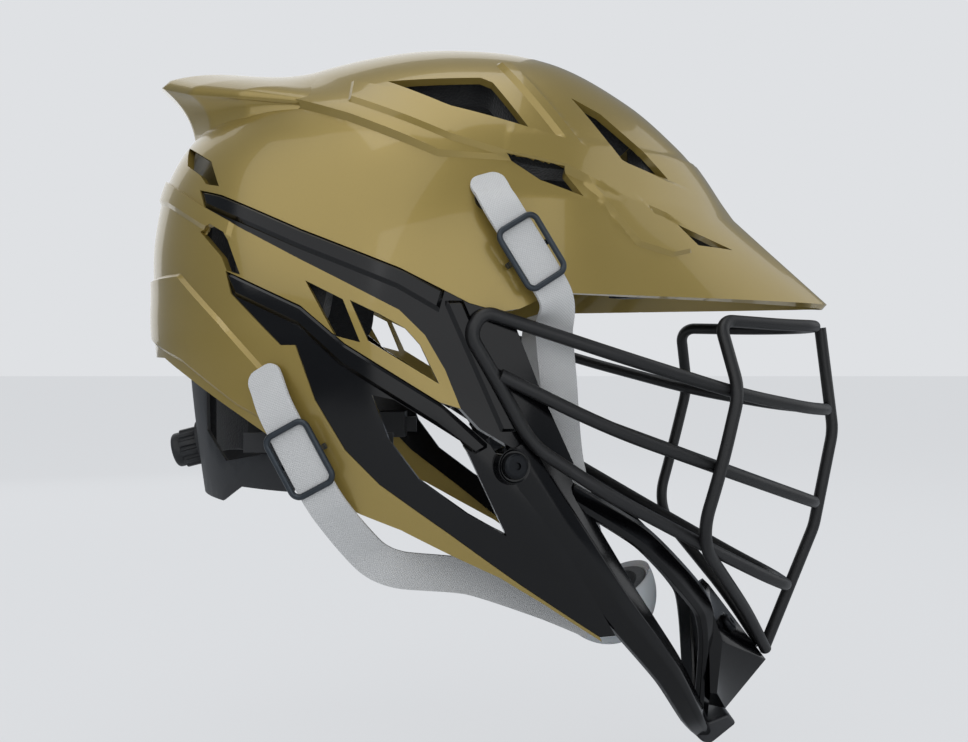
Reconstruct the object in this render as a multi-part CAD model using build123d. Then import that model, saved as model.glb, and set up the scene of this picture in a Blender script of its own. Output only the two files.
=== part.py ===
from build123d import *
import math
import os

# Lacrosse helmet: painted shells, black frames and chin guard, wire cage, liner, fit dial and chin strap.
# It faces +X, with +Z up and its plane of symmetry at Y = 0. The origin is at the middle of the head.

# Driving dimensions, in millimetres
LENGTH = 250.0
WIDTH = 208.0
HEIGHT = 320.0
WALL = 3.2
OVERRUN = 40.0

# Shape of the shell: its side profile, and how fast it narrows ahead of and behind its widest section
PROFILE_SHARES = [
    (0.544, 0.125), (0.528, 0.191), (0.490, 0.239), (0.441, 0.278), (0.385, 0.315), (0.313, 0.349),
    (0.198, 0.382), (0.060, 0.393), (-0.079, 0.384), (-0.198, 0.362), (-0.317, 0.328), (-0.418, 0.273),
    (-0.472, 0.209), (-0.498, 0.125), (-0.500, 0.031), (-0.484, -0.125), (-0.432, -0.344), (-0.280, -0.516),
    (-0.060, -0.609), (0.188, -0.631), (0.364, -0.619), (0.468, -0.609), (0.528, -0.588), (0.540, -0.528),
    (0.516, -0.456), (0.484, -0.369), (0.460, -0.287), (0.472, -0.181), (0.516, -0.062), (0.544, 0.031),
]
POLE_SHARE = (-0.048, -0.031)
WIDEST_SHARE = -0.100
FRONT_TAPER_SHARE = 1.08
REAR_TAPER_SHARE = 0.36
ROUNDNESS = 2.3
SECTION_SHARES = (0.0, 0.26, 0.50, 0.70, 0.84, 0.93, 0.98, 0.997)
JOIN_TURN_SHARE = 0.855
ARC_COUNT = 6


def placed(shares):
    """Side-view points in millimetres from shares of the length and the height."""
    return [(x * LENGTH, z * HEIGHT) for x, z in shares]


POLE = placed([POLE_SHARE])[0]
PROFILE_ANGLES = [math.atan2(z - POLE[1], x - POLE[0]) % math.tau for x, z in placed(PROFILE_SHARES)]
PROFILE_RADII = [math.hypot(x - POLE[0], z - POLE[1]) for x, z in placed(PROFILE_SHARES)]
RAYS = sorted(zip(PROFILE_ANGLES, PROFILE_RADII))


def profile_radius(angle):
    """Distance from the pole to the side profile, as a smooth closed curve through its points."""
    angle = angle % math.tau
    count = len(RAYS)
    after = next((i for i, ray in enumerate(RAYS) if ray[0] > angle), count)
    near = []
    for step in range(after - 2, after + 2):
        turns, index = divmod(step, count)
        near.append((RAYS[index][0] + turns * math.tau, RAYS[index][1]))
    (a0, r0), (a1, r1), (a2, r2), (a3, r3) = near
    u = (angle - a1) / (a2 - a1)
    start_slope = (r2 - r0) / (a2 - a0) * (a2 - a1)
    end_slope = (r3 - r1) / (a3 - a1) * (a2 - a1)
    blend_start = (2 * u**3 - 3 * u**2 + 1) * r1 + (u**3 - 2 * u**2 + u) * start_slope
    blend_end = (3 * u**2 - 2 * u**3) * r2 + (u**3 - u**2) * end_slope
    return blend_start + blend_end


def half_limit(x):
    """Half width of the widest level at this distance along the shell."""
    along = x / LENGTH - WIDEST_SHARE
    taper = FRONT_TAPER_SHARE if along > 0 else REAR_TAPER_SHARE
    return WIDTH / 2 * (1 - taper * along**2)


def half_width(x, z, offset=0.0):
    """Distance from the middle plane to the shell's surface, or to a surface offset from it."""
    angle = math.atan2(z - POLE[1], x - POLE[0])
    ratio = math.hypot(x - POLE[0], z - POLE[1]) / (profile_radius(angle) + offset)
    if ratio >= 1:
        return 0.0
    return (half_limit(x) + offset) * (1 - ratio**ROUNDNESS) ** (1 / ROUNDNESS)


def section_radius(angle, y, offset):
    """Radius at which the offset surface crosses the plane at distance y from the middle."""
    low, high = 0.0, profile_radius(angle) + offset
    for _ in range(40):
        middle = (low + high) / 2
        x = POLE[0] + middle * math.cos(angle)
        z = POLE[1] + middle * math.sin(angle)
        if half_width(x, z, offset) > y:
            low = middle
        else:
            high = middle
    return low


def section_points(y, offset):
    """Points of the offset surface in the plane at distance y from the middle, once round."""
    start = next(i for i, ray in enumerate(RAYS) if ray[0] > JOIN_TURN_SHARE * math.tau)
    points = []
    for angle, _ in RAYS[start:] + RAYS[:start]:
        radius = section_radius(angle, abs(y), offset)
        points.append(Vector(POLE[0] + radius * math.cos(angle), y, POLE[1] + radius * math.sin(angle)))
    return points


def section_wire(y, offset):
    """Smooth closed section, as arcs that run on from each other without a corner."""
    points = section_points(y, offset)
    count = len(points)
    run = count // ARC_COUNT
    edges = []
    for first in range(0, count, run):
        last = first + run
        arc = [points[i % count] for i in range(first, last + 1)]
        ends = [points[(i + 1) % count] - points[i - 1] for i in (first, last % count)]
        edges.append(Spline(*arc, tangents=[end.normalized() for end in ends]).edge())
    return Wire(edges)


def shell_form(offset):
    """Closed solid of the helmet's outer form, moved outward by the offset."""
    limit = half_limit(POLE[0]) + offset
    shares = [-share for share in reversed(SECTION_SHARES[1:])] + list(SECTION_SHARES)
    stations = [share * limit for share in shares]
    return Solid.make_loft([section_wire(y, offset) for y in stations])


FORMS = {}


def form(offset):
    """The form at this offset, lofted once and kept."""
    if offset not in FORMS:
        FORMS[offset] = shell_form(offset)
    return FORMS[offset]


def prism(shares, near=None, far=None):
    """Side-view outline pushed along Y, by default through the whole helmet."""
    near = -WIDTH if near is None else near
    far = WIDTH if far is None else far
    face = make_face(Polyline(*[(x, near, z) for x, z in placed(shares)], close=True))
    return extrude(face, amount=far - near, dir=(0, 1, 0))


def skin(outer, inner, shares, near=None, far=None):
    """Piece of shell between two offsets of the form, cut to a side-view outline."""
    return form(outer) & prism(shares, near, far) - form(inner)


def mirrored(piece):
    """The same piece on the other side."""
    return mirror(piece, about=Plane.XZ)


def on_surface(x, z, offset=0.0):
    """Point on the left side of the form."""
    return Vector(x, half_width(x, z, offset), z)


def outward(x, z):
    """Direction that leaves the left side squarely."""
    step = LENGTH / 500
    slope_x = (half_width(x + step, z) - half_width(x - step, z)) / (2 * step)
    slope_z = (half_width(x, z + step) - half_width(x, z - step)) / (2 * step)
    return Vector(-slope_x, 1, -slope_z).normalized()


# Edges that the shells and the frames share, as shares of the length and the height
SEAM_SHARES = [(-0.500, 0.221), (-0.432, 0.187), (-0.352, 0.147)]
CROWN_EDGE_SHARES = [
    (-0.365, 0.172), (-0.322, 0.162), (-0.184, 0.113), (-0.027, 0.064), (0.034, 0.040), (0.080, 0.022),
    (0.127, 0.012),
]
BROW_EDGE_SHARES = [(0.158, 0.016), (0.199, 0.031), (0.224, 0.037)]
STRIP_TOP_SHARES = [
    (-0.284, 0.117), (-0.183, 0.075), (-0.120, 0.050), (-0.028, 0.013), (0.011, -0.017), (0.042, -0.059),
    (0.066, -0.106),
]
BAND_TOP_SHARES = [(0.034, -0.098), (-0.112, -0.027), (-0.182, 0.019), (-0.282, 0.055), (-0.308, 0.064)]
LOWER_FRONT_SHARES = [
    (-0.298, 0.035), (-0.214, -0.029), (-0.190, -0.029), (-0.159, -0.095), (-0.112, -0.156),
    (-0.059, -0.198), (0.049, -0.260), (0.159, -0.326), (0.293, -0.403),
]
LOWER_BACK_SHARES = [
    (0.296, -0.409), (0.200, -0.354), (0.127, -0.316), (0.049, -0.285), (-0.028, -0.253), (-0.089, -0.234),
    (-0.136, -0.217), (-0.207, -0.152), (-0.283, -0.115), (-0.390, -0.065), (-0.440, -0.043), (-0.488, -0.041),
]
ARM_BACK_SHARES = [(0.112, -0.151), (0.159, -0.208), (0.225, -0.274), (0.320, -0.403)]
TEMPLE_FRONT_SHARES = [(0.152, -0.006), (0.192, -0.084), (0.248, -0.178), (0.176, -0.169), (0.096, -0.131)]

# Vents and windows
CROWN_VENT_SHARES = [
    [(-0.057, 0.311), (0.095, 0.319), (0.115, 0.312), (0.174, 0.247), (0.136, 0.252), (0.047, 0.273)],
    [(0.248, 0.300), (0.301, 0.283), (0.372, 0.241), (0.423, 0.200), (0.369, 0.208), (0.336, 0.219)],
    [(0.136, 0.208), (0.229, 0.196), (0.264, 0.162), (0.192, 0.180)],
    [(0.436, 0.136), (0.545, 0.108), (0.474, 0.110)],
]
REAR_CROWN_VENT_SHARES = [
    (-0.415, 0.245), (-0.350, 0.211), (-0.328, 0.174), (-0.354, 0.179), (-0.368, 0.193), (-0.402, 0.212),
]
REAR_SHELL_VENT_SHARES = [
    (-0.358, 0.116), (-0.336, 0.123), (-0.310, 0.111), (-0.282, 0.058), (-0.306, 0.064), (-0.316, 0.082),
]
SIDE_VENT_SHARES = [(-0.174, 0.049), (-0.115, 0.026), (-0.088, -0.026), (-0.127, -0.018)]
EAR_SHARES = [
    (-0.104, 0.025), (-0.058, 0.008), (-0.019, -0.009), (0.004, -0.029), (0.033, -0.076), (-0.076, -0.024),
]
WINDOW_SHARES = [
    (-0.071, -0.089), (-0.036, -0.095), (0.064, -0.144), (0.076, -0.158), (0.138, -0.264), (0.080, -0.237),
    (0.003, -0.193), (-0.044, -0.144),
]

# Raised parts of the crown
BEAM_SHARES = [
    (-0.112, 0.309), (-0.002, 0.284), (0.047, 0.268), (0.169, 0.244), (0.251, 0.229), (0.414, 0.196),
    (0.490, 0.182), (0.485, 0.124), (0.411, 0.150), (0.336, 0.164), (0.232, 0.197), (0.147, 0.208),
    (0.048, 0.229), (-0.112, 0.281),
]
RIB_SHARES = [
    [(0.129, 0.343), (0.144, 0.344), (0.258, 0.228), (0.234, 0.232)],
    [(0.250, 0.200), (0.268, 0.201), (0.380, 0.104), (0.360, 0.107)],
    [(0.295, 0.199), (0.316, 0.192), (0.450, 0.102), (0.420, 0.096)],
]
CAP_SHARES = [
    (-0.480, 0.300), (-0.340, 0.309), (-0.203, 0.285), (-0.114, 0.259), (-0.032, 0.231), (0.048, 0.200),
    (0.100, 0.182), (0.150, 0.226), (0.480, 0.150), (0.480, 0.420), (-0.480, 0.420),
]
CAP_RISE = 1.4
BEAM_RISE = 2.4
RIB_RISE = 3.0

# Rear fin: its tip at each station across, and the directions from the pole where it leaves the crown
FIN_TIP_SHARES = [
    (0.0, -0.504, 0.354), (0.24, -0.478, 0.341), (0.42, -0.412, 0.319), (0.56, -0.316, 0.303),
    (0.66, -0.204, 0.287),
]
FIN_TOP_ANGLES = (112, 112, 111, 110, 108)
FIN_LOW_ANGLES = (134, 133, 129, 122, 113)
FIN_EDGE = 2.4

# Visor: plan curves at three heights, as shares of the length and the half width
VISOR_LEVEL_SHARES = (0.234, 0.160, 0.037)
VISOR_BACK_SHARE = 0.12
VISOR_UPPER_SHARES = (0.24, 0.35, 0.42, 0.46, 0.485, 0.504)
VISOR_BROW_SHARES = [(0.24, 0.765), (0.36, 0.575), (0.45, 0.410), (0.515, 0.245), (0.553, 0.110), (0.572, 0.0)]
VISOR_EDGE_SHARES = [(0.24, 0.810), (0.38, 0.635), (0.51, 0.462), (0.62, 0.290), (0.708, 0.122), (0.748, 0.0)]


def fin():
    """Swept fin that carries the cap past the back of the crown."""
    profiles = []
    for index, (y_share, x_share, z_share) in enumerate(FIN_TIP_SHARES):
        y = y_share * WIDTH / 2
        tip_x, tip_z = x_share * LENGTH, z_share * HEIGHT
        edge = FIN_EDGE * (1 - index / (len(FIN_TIP_SHARES) + 1))
        roots = []
        for angle in (math.radians(FIN_LOW_ANGLES[index]), math.radians(FIN_TOP_ANGLES[index])):
            radius = section_radius(angle, y, 0) - WALL / 2
            roots.append((POLE[0] + radius * math.cos(angle), POLE[1] + radius * math.sin(angle)))
        (low_x, low_z), (top_x, top_z) = roots
        under = ((low_x + tip_x) / 2 + edge, (low_z + tip_z) / 2 - edge / 2)
        over = ((top_x + tip_x) / 2, (top_z + tip_z) / 2 + edge)
        profiles.append((y, [(low_x, low_z), under, (tip_x, tip_z - edge / 2), (tip_x, tip_z + edge / 2), over,
                             (top_x, top_z)]))
    stations = [(-y, outline) for y, outline in reversed(profiles[1:])] + profiles
    wires = [Wire.make_polygon([(x, y, z) for x, z in outline]) for y, outline in stations]
    return Solid.make_loft(wires, ruled=True)


def visor_curve(level, inset):
    """Half of a plan curve of the visor, from its back to its tip, moved inward by the inset."""
    z = VISOR_LEVEL_SHARES[level] * HEIGHT
    back = VISOR_BACK_SHARE * LENGTH
    if level == 0:
        places = [share * LENGTH for share in VISOR_UPPER_SHARES]
        points = [(x, max(half_width(x, z, -WALL / 2), 0)) for x in places]
        points[-1] = (points[-1][0], 0)
    else:
        shares = (VISOR_BROW_SHARES, VISOR_EDGE_SHARES)[level - 1]
        points = [(x * LENGTH, y * WIDTH / 2) for x, y in shares]
    points.insert(0, (back, half_width(back, z, -WALL / 3)))
    moved = []
    for index, (x, y) in enumerate(points):
        before = points[max(index - 1, 0)]
        after = points[index + 1] if index + 1 < len(points) else (before[0], -before[1])
        run = math.hypot(after[0] - before[0], after[1] - before[1])
        moved.append((x + inset * (after[1] - before[1]) / run, y - inset * (after[0] - before[0]) / run))
    return moved, z


def visor(inset):
    """Solid under the visor's surface, from the brow to its edge."""
    wires = []
    for level in range(len(VISOR_LEVEL_SHARES)):
        curve, z = visor_curve(level, inset)
        around = curve + [(x, -y) for x, y in reversed(curve[:-1])]
        front = Spline(*[(x, y, z) for x, y in around]).edge()
        wires.append(Wire([front, Edge.make_line(front @ 1, front @ 0)]))
    return Solid.make_loft(wires, ruled=True)


def left_half():
    """Everything to the left of the middle plane."""
    return Box(2 * LENGTH, WIDTH, 2 * HEIGHT, align=(Align.CENTER, Align.MIN, Align.CENTER))


def both_halves(piece):
    """A left half joined to its mirror image."""
    return piece + mirrored(piece)


def crown_shell():
    """Upper shell with its visor, cap, fin, beams, ribs and vents."""
    region = [(-0.600, 0.221)] + SEAM_SHARES + CROWN_EDGE_SHARES + BROW_EDGE_SHARES
    region += [(0.800, 0.037), (0.800, 0.500), (-0.600, 0.500)]
    raised = [form(CAP_RISE) & prism(CAP_SHARES, near=0), form(BEAM_RISE) & prism(BEAM_SHARES, near=0)]
    raised += [form(RIB_RISE) & prism(rib, near=0) for rib in RIB_SHARES]
    shell = (form(0) + visor(0)) & prism(region, near=0)
    shell = shell + raised + (fin() & left_half())
    shell = shell - form(-WALL) - visor(WALL)
    shell = shell - [prism(vent) for vent in CROWN_VENT_SHARES + [REAR_CROWN_VENT_SHARES]]
    return both_halves(shell)


# Lower shell: ledge along its side, and the strip above the ear
LEDGE_SHARES = [
    (-0.500, 0.060), (-0.400, 0.060), (-0.320, 0.000), (-0.243, -0.062), (-0.213, -0.085), (-0.200, -0.132),
    (-0.283, -0.100), (-0.390, -0.045), (-0.500, -0.010),
]
LEDGE_RISE = 1.6


def rear_shell():
    """Lower shell behind the head, with the strips over and under the side openings."""
    outline = [(-0.600, 0.221)] + SEAM_SHARES + STRIP_TOP_SHARES + BAND_TOP_SHARES
    outline += LOWER_FRONT_SHARES + LOWER_BACK_SHARES + [(-0.600, -0.041)]
    shell = form(0) & prism(outline)
    shell = shell + (form(LEDGE_RISE) & prism(LEDGE_SHARES))
    return shell - form(-WALL) - [prism(gap) for gap in (SIDE_VENT_SHARES, EAR_SHARES, REAR_SHELL_VENT_SHARES)]


# Black frames: set a little below the painted shells, with a rounded lip along their upper edge
FRAME_DROP = 0.8
FRAME_DEPTH = 4.8
LIP_RISE = 0.8
UPPER_LIP_SHARES = [
    (-0.352, 0.164), (-0.322, 0.157), (-0.184, 0.108), (-0.027, 0.059), (0.034, 0.035), (0.028, 0.018),
    (-0.030, 0.044), (-0.184, 0.093), (-0.322, 0.142), (-0.346, 0.151),
]
TEMPLE_RIDGE_SHARES = [(0.048, 0.020), (0.066, 0.020), (0.150, -0.130), (0.132, -0.130)]
LOWER_LIP_SHARES = [
    (-0.300, 0.057), (-0.282, 0.050), (-0.182, 0.014), (-0.112, -0.032), (0.034, -0.103), (0.100, -0.151),
    (0.088, -0.156), (0.028, -0.120), (-0.116, -0.049), (-0.184, -0.001), (-0.286, 0.036),
]


def upper_frame():
    """Left black band between the shells, widening into the temple plate that carries the cage."""
    outline = [SEAM_SHARES[-1]] + CROWN_EDGE_SHARES + TEMPLE_FRONT_SHARES + STRIP_TOP_SHARES[::-1]
    frame = form(-FRAME_DROP) & prism(outline, near=0)
    lips = [form(LIP_RISE) & prism(lip, near=0) for lip in (UPPER_LIP_SHARES, TEMPLE_RIDGE_SHARES)]
    return frame + lips - form(-FRAME_DEPTH) - [jaw_arm(), side_loop(GROOVE_CLEARANCE)]


def lower_frame():
    """Left black loop under the side strip, round its triangular window."""
    outline = BAND_TOP_SHARES[::-1] + ARM_BACK_SHARES + LOWER_FRONT_SHARES[::-1]
    frame = form(-FRAME_DROP) & prism(outline, near=0)
    frame = frame + (form(LIP_RISE) & prism(LOWER_LIP_SHARES, near=0))
    return frame - form(-FRAME_DEPTH) - [prism(WINDOW_SHARES, near=0), jaw_arm()]


# Chin guard: stations of each jaw arm, from the side bolt to the chin, and of the rail above it
ARM_STATION_SHARES = [
    (0.154, 0.846, -0.150), (0.198, 0.798, -0.203), (0.255, 0.733, -0.272), (0.331, 0.620, -0.362),
    (0.424, 0.457, -0.462), (0.478, 0.300, -0.538), (0.508, 0.115, -0.577),
]
ARM_WIDTHS = (30.0, 27.0, 25.0, 20.5, 15.5, 12.0, 9.0)
ARM_RIDGE = 3.5
ARM_DEPTH = 5.0
RAIL_STATION_SHARES = [
    (0.255, 0.705, -0.222), (0.365, 0.560, -0.278), (0.443, 0.410, -0.340), (0.494, 0.270, -0.385),
    (0.500, 0.250, -0.440), (0.500, 0.105, -0.560),
]
RAIL_WIDTHS = (9.0, 10.0, 11.0, 11.0, 9.0, 8.0)
RAIL_DEPTH = 5.0
SIDE_BOLT_SHARE = (0.145, -0.177)
BOSS_DIAMETER = 14.0
BOSS_RISE = 3.0
CHIN_SHARES = [(0.460, -0.560), (0.494, -0.570), (0.551, -0.552), (0.566, -0.566), (0.520, -0.595), (0.505, -0.594)]
CHIN_HALF = 15.0


def strip_loft(centers, outwards, widths, section):
    """Bar lofted straight from station to station; the section is in half widths and outward lengths."""
    wires = []
    for index, center in enumerate(centers):
        before = centers[max(index - 1, 0)]
        after = centers[min(index + 1, len(centers) - 1)]
        across = (after - before).cross(outwards[index]).normalized()
        out = across.cross(after - before).normalized()
        half = widths[index] / 2
        wires.append(Wire.make_polygon([center + across * (u * half) + out * n for u, n in section]))
    return Solid.make_loft(wires, ruled=True)


def located(shares):
    """Points from shares of the length, half width and height."""
    return [Vector(x * LENGTH, y * WIDTH / 2, z * HEIGHT) for x, y, z in shares]


def bolt_plane():
    """Plane of the left side bolt's seat, on top of its boss."""
    x, z = placed([SIDE_BOLT_SHARE])[0]
    out = outward(x, z)
    return Plane(origin=on_surface(x, z) + out * BOSS_RISE, z_dir=out)


def jaw_arm():
    """Left faceted arm of the chin guard, with the boss for its bolt."""
    section = [
        (-1, -FRAME_DROP), (-0.25, ARM_RIDGE), (0.2, ARM_RIDGE), (1, -FRAME_DROP), (1, -ARM_DEPTH),
        (-1, -ARM_DEPTH),
    ]
    outwards = [outward(x * LENGTH, z * HEIGHT) for x, _, z in ARM_STATION_SHARES[:-1]]
    arm = strip_loft(located(ARM_STATION_SHARES), outwards + [outwards[-1]], ARM_WIDTHS, section)
    depth = BOSS_RISE + ARM_DEPTH
    boss = bolt_plane() * Pos(0, 0, -depth / 2) * Cylinder(BOSS_DIAMETER / 2, depth)
    return arm + boss


def jaw_rail():
    """Left inner rail, from the arm to the chin plate and down beside it to the chin."""
    outwards = [Vector(1, 1, 0).normalized()] * len(RAIL_STATION_SHARES)
    section = [(-1, RAIL_DEPTH / 2), (1, RAIL_DEPTH / 2), (1, -RAIL_DEPTH / 2), (-1, -RAIL_DEPTH / 2)]
    return strip_loft(located(RAIL_STATION_SHARES), outwards, RAIL_WIDTHS, section)


def chin_guard():
    """Both arms and rails joined at the chin."""
    face = make_face(Polyline(*[(x, -CHIN_HALF, z) for x, z in placed(CHIN_SHARES)], close=True))
    chin = extrude(face, amount=2 * CHIN_HALF, dir=(0, 1, 0))
    hole = bolt_plane() * Cylinder(SHANK_DIAMETER / 2 + FIT, OVERRUN)
    pocket_side = NUT_SIDE + 2 * NUT_CLEARANCE
    pocket = Box(pocket_side, pocket_side, OVERRUN, align=(Align.CENTER, Align.CENTER, Align.MAX))
    pocket = bolt_plane() * Pos(0, 0, -BOSS_RISE - ARM_DEPTH) * pocket
    arm = jaw_arm() - [hole, pocket, side_loop(GROOVE_CLEARANCE)]
    rail = jaw_rail()
    return chin + [arm, mirrored(arm), rail, mirrored(rail)]


# Chin plate: wedge ahead of the chin, from its nose to its sides
PLATE_NOSE_SHARES = [(0.520, -0.370), (0.626, -0.479), (0.551, -0.550), (0.520, -0.545), (0.500, -0.400)]
PLATE_SIDE_SHARES = [(0.510, -0.392), (0.530, -0.440), (0.520, -0.512), (0.508, -0.512), (0.505, -0.400)]
PLATE_HALF = 27.0
NOSE_HALF = 8.0
PLATE_HOLLOW_SHARE = 0.62

# Fasteners
FIT = 0.15
SHANK_DIAMETER = 5.0
HEAD_DIAMETER = 10.5
HEAD_HEIGHT = 2.6
RECESS_DIAMETER = 3.0
RECESS_DEPTH = 1.2
NUT_SIDE = 9.0
NUT_HEIGHT = 4.0
NUT_CLEARANCE = 0.3
CHIN_HEAD_DIAMETER = 8.5
CHIN_SHANK_LENGTH = 9.0


def plate_wedge():
    """Solid wedge of the chin plate."""
    wires = []
    for y, shares in (
        (-PLATE_HALF, PLATE_SIDE_SHARES), (-NOSE_HALF, PLATE_NOSE_SHARES),
        (NOSE_HALF, PLATE_NOSE_SHARES), (PLATE_HALF, PLATE_SIDE_SHARES),
    ):
        wires.append(Wire.make_polygon([(x, y, z) for x, z in placed(shares)]))
    return Solid.make_loft(wires, ruled=True)


def chin_bolt_plane():
    """Plane of the left chin bolt's seat, on the slanted side of the plate."""
    top, front = [Vector(x, NOSE_HALF, z) for x, z in placed(PLATE_NOSE_SHARES[:2])]
    side = Vector(PLATE_SIDE_SHARES[0][0] * LENGTH, PLATE_HALF, PLATE_SIDE_SHARES[0][1] * HEIGHT)
    low = Vector(PLATE_SIDE_SHARES[1][0] * LENGTH, PLATE_HALF, PLATE_SIDE_SHARES[1][1] * HEIGHT)
    out = (front - top).cross(side - top).normalized()
    out = out if out.Y > 0 else out * -1
    return Plane(origin=(top + front + side + low) / 4, z_dir=out)


def chin_plate():
    """Hollow wedge in front of the chin, which takes the foot of the cage."""
    wedge = plate_wedge()
    middle = wedge.center()
    hollow = scale(wedge.moved(Location(-middle)), by=PLATE_HOLLOW_SHARE).moved(Location(middle))
    hole = Cylinder(SHANK_DIAMETER / 2 + FIT, OVERRUN / 2)
    pocket = Cylinder(CHIN_HEAD_DIAMETER / 2 + FIT, OVERRUN, align=(Align.CENTER, Align.CENTER, Align.MIN))
    hole = chin_bolt_plane() * (hole + pocket)
    return wedge - hollow - [hole, mirrored(hole), chin_guard()]


def bolt(seat, diameter, length):
    """Round-headed bolt with its head on the seat."""
    head = Cylinder(diameter / 2, HEAD_HEIGHT, align=(Align.CENTER, Align.CENTER, Align.MIN))
    head = fillet(head.edges().group_by(Axis.Z)[-1], HEAD_HEIGHT * 0.6)
    head -= Pos(0, 0, HEAD_HEIGHT) * Cylinder(RECESS_DIAMETER / 2, 2 * RECESS_DEPTH)
    shank = Cylinder(SHANK_DIAMETER / 2, length, align=(Align.CENTER, Align.CENTER, Align.MAX))
    return seat * (head + shank)


def square_nut(seat, depth):
    """Square nut under the seat at this depth."""
    body = Box(NUT_SIDE, NUT_SIDE, NUT_HEIGHT, align=(Align.CENTER, Align.CENTER, Align.MAX))
    return seat * Pos(0, 0, -depth) * (body - Cylinder(SHANK_DIAMETER / 2, OVERRUN))


def pair(piece):
    """A piece and its twin on the other side."""
    return Compound([piece.solid(), mirrored(piece).solid()])


# Face cage: round wire along straight runs and bends; corners in shares of the length, half width and height
WIRE = 5.4
WELD_SHARE = 0.9
GROOVE_CLEARANCE = 0.25
CENTER_BEND = 30.0
CENTER_BAR_SHARES = [(0.736, 0.0, 0.003), (0.760, 0.0, -0.147), (0.724, 0.0, -0.288), (0.630, 0.0, -0.469)]
NOSE_SHARE = 0.15
BAR_SHARES = {
    "upper": [(0.330, 0.830, -0.045), (0.540, 0.540, -0.092), (0.680, 0.300, -0.112)],
    "middle": [(0.300, 0.840, -0.132), (0.510, 0.550, -0.192), (0.650, 0.290, -0.232)],
    "lower": [(0.300, 0.800, -0.215), (0.470, 0.530, -0.290), (0.600, 0.290, -0.345)],
}
NOSE_LEVEL_SHARES = {"upper": -0.116, "middle": -0.250, "lower": -0.369}
LOOP_SHARES = [(0.100, 0.012), (0.080, -0.016), (0.130, -0.082), (0.178, -0.152)]
TOP_SHARES = [(0.640, 0.280, 0.004), (0.506, 0.480, 0.008)]
SIDE_FOOT_SHARES = [(0.578, 0.210, -0.400), (0.628, 0.052, -0.466)]
SIDE_CROSSING_SHARES = {"upper": 0.90, "middle": 0.90, "lower": 0.90}


def bend_radii(points):
    """Largest bends that the runs beside each corner allow."""
    radii = []
    for before, corner, after in zip(points, points[1:], points[2:]):
        turn = math.radians((corner - before).get_angle(after - corner))
        shorter = min((corner - before).length, (after - corner).length)
        radii.append(0.45 * shorter / math.tan(turn / 2))
    return radii


def wire_bar(points, radii=None, clearance=0.0):
    """Round wire along straight runs joined by bends, or the groove round it."""
    path = FilletPolyline(*points, radius=radii or bend_radii(points))
    ends = Plane(origin=path @ 0, z_dir=path % 0)
    return sweep(ends * Circle(WIRE / 2 + clearance), path=path)


def across(points):
    """Route continued to the other side of the middle plane."""
    return points + [Vector(p.X, -p.Y, p.Z) for p in reversed(points)]


def nose_corner(bar):
    """Corner of a crossing bar beside the middle, so that its nose rests behind the centre bar."""
    z = NOSE_LEVEL_SHARES[bar] * HEIGHT
    corners = located(CENTER_BAR_SHARES)
    above, below = next((a, b) for a, b in zip(corners, corners[1:]) if b.Z <= z <= a.Z)
    x = above.X + (below.X - above.X) * (z - above.Z) / (below.Z - above.Z)
    return Vector(x - WIRE * WELD_SHARE, NOSE_SHARE * WIDTH / 2, z)


def loop_corners():
    """Corners of the left side loop, which lies on the temple plate."""
    return [on_surface(x, z) + Vector(0, WIRE / 2 - FRAME_DROP, 0) for x, z in placed(LOOP_SHARES)]


def crossing_bar(bar):
    """Bar that runs round the face; the upper and lower ones end where the side loops begin."""
    corners = located(BAR_SHARES[bar]) + [nose_corner(bar)]
    loop = loop_corners()
    if bar == "middle":
        end = (loop[1] + loop[2] * 3) / 4 + Vector(WIRE * WELD_SHARE / 2, 0, 0)
    else:
        end = (corners[0] + (loop[0] if bar == "upper" else loop[-1])) / 2
    return wire_bar(across([end] + corners))


def side_loop(clearance=0.0):
    """Left loop that joins the upper bar to the lower bar, or the groove round it."""
    loop = loop_corners()
    start = (located(BAR_SHARES["upper"])[0] + loop[0]) / 2
    end = (located(BAR_SHARES["lower"])[0] + loop[-1]) / 2
    return wire_bar([start] + loop + [end], clearance=clearance)


def side_corners():
    """Corners of the left side bar, outside each crossing bar and down to its foot."""
    corners = [located(TOP_SHARES)[-1]]
    for bar, share in SIDE_CROSSING_SHARES.items():
        start, end = located(BAR_SHARES[bar])[:2]
        run = end - start
        out = Vector(-run.Y, run.X, 0).normalized()
        corners.append(start + run * share + out * (WIRE * WELD_SHARE))
    return corners + located(SIDE_FOOT_SHARES)


def side_bar():
    """Left upright bar of the cage."""
    corners = side_corners()
    return wire_bar([(corners[0] + corners[1]) / 2] + corners[1:])


def top_bar():
    """Bar under the visor's edge, turned down at both ends into the side bars."""
    corners = side_corners()
    nose_x = CENTER_BAR_SHARES[0][0] * LENGTH - WIRE * WELD_SHARE
    nose = Vector(nose_x, NOSE_SHARE * WIDTH / 2, TOP_SHARES[0][2] * HEIGHT)
    return wire_bar(across([(corners[0] + corners[1]) / 2, corners[0], located(TOP_SHARES)[0], nose]))


def center_bar():
    """Upright bar at the middle of the cage."""
    return wire_bar(located(CENTER_BAR_SHARES), CENTER_BEND)


# Liner pads, as side-view outlines
LINER_THICKNESS = 12.0
CROWN_LINER_SHARES = [(-0.300, 0.200), (0.360, 0.200), (0.360, 0.450), (-0.300, 0.450)]
SIDE_LINER_SHARES = [
    (-0.300, 0.185), (0.160, 0.185), (0.140, 0.060), (0.020, 0.050), (-0.100, 0.035), (-0.080, -0.030),
    (-0.150, -0.060), (-0.300, 0.030),
]
REAR_LINER_SHARES = [(-0.600, 0.195), (-0.378, 0.195), (-0.378, -0.020), (-0.600, -0.020)]
BROW_PAD_SHARES = [(0.380, 0.050), (0.700, 0.050), (0.700, 0.270), (0.380, 0.270)]


def liner_pad(shares, outer, near=None):
    """Foam pad between two offsets of the form."""
    return skin(outer, outer - LINER_THICKNESS, shares, near)


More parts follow.
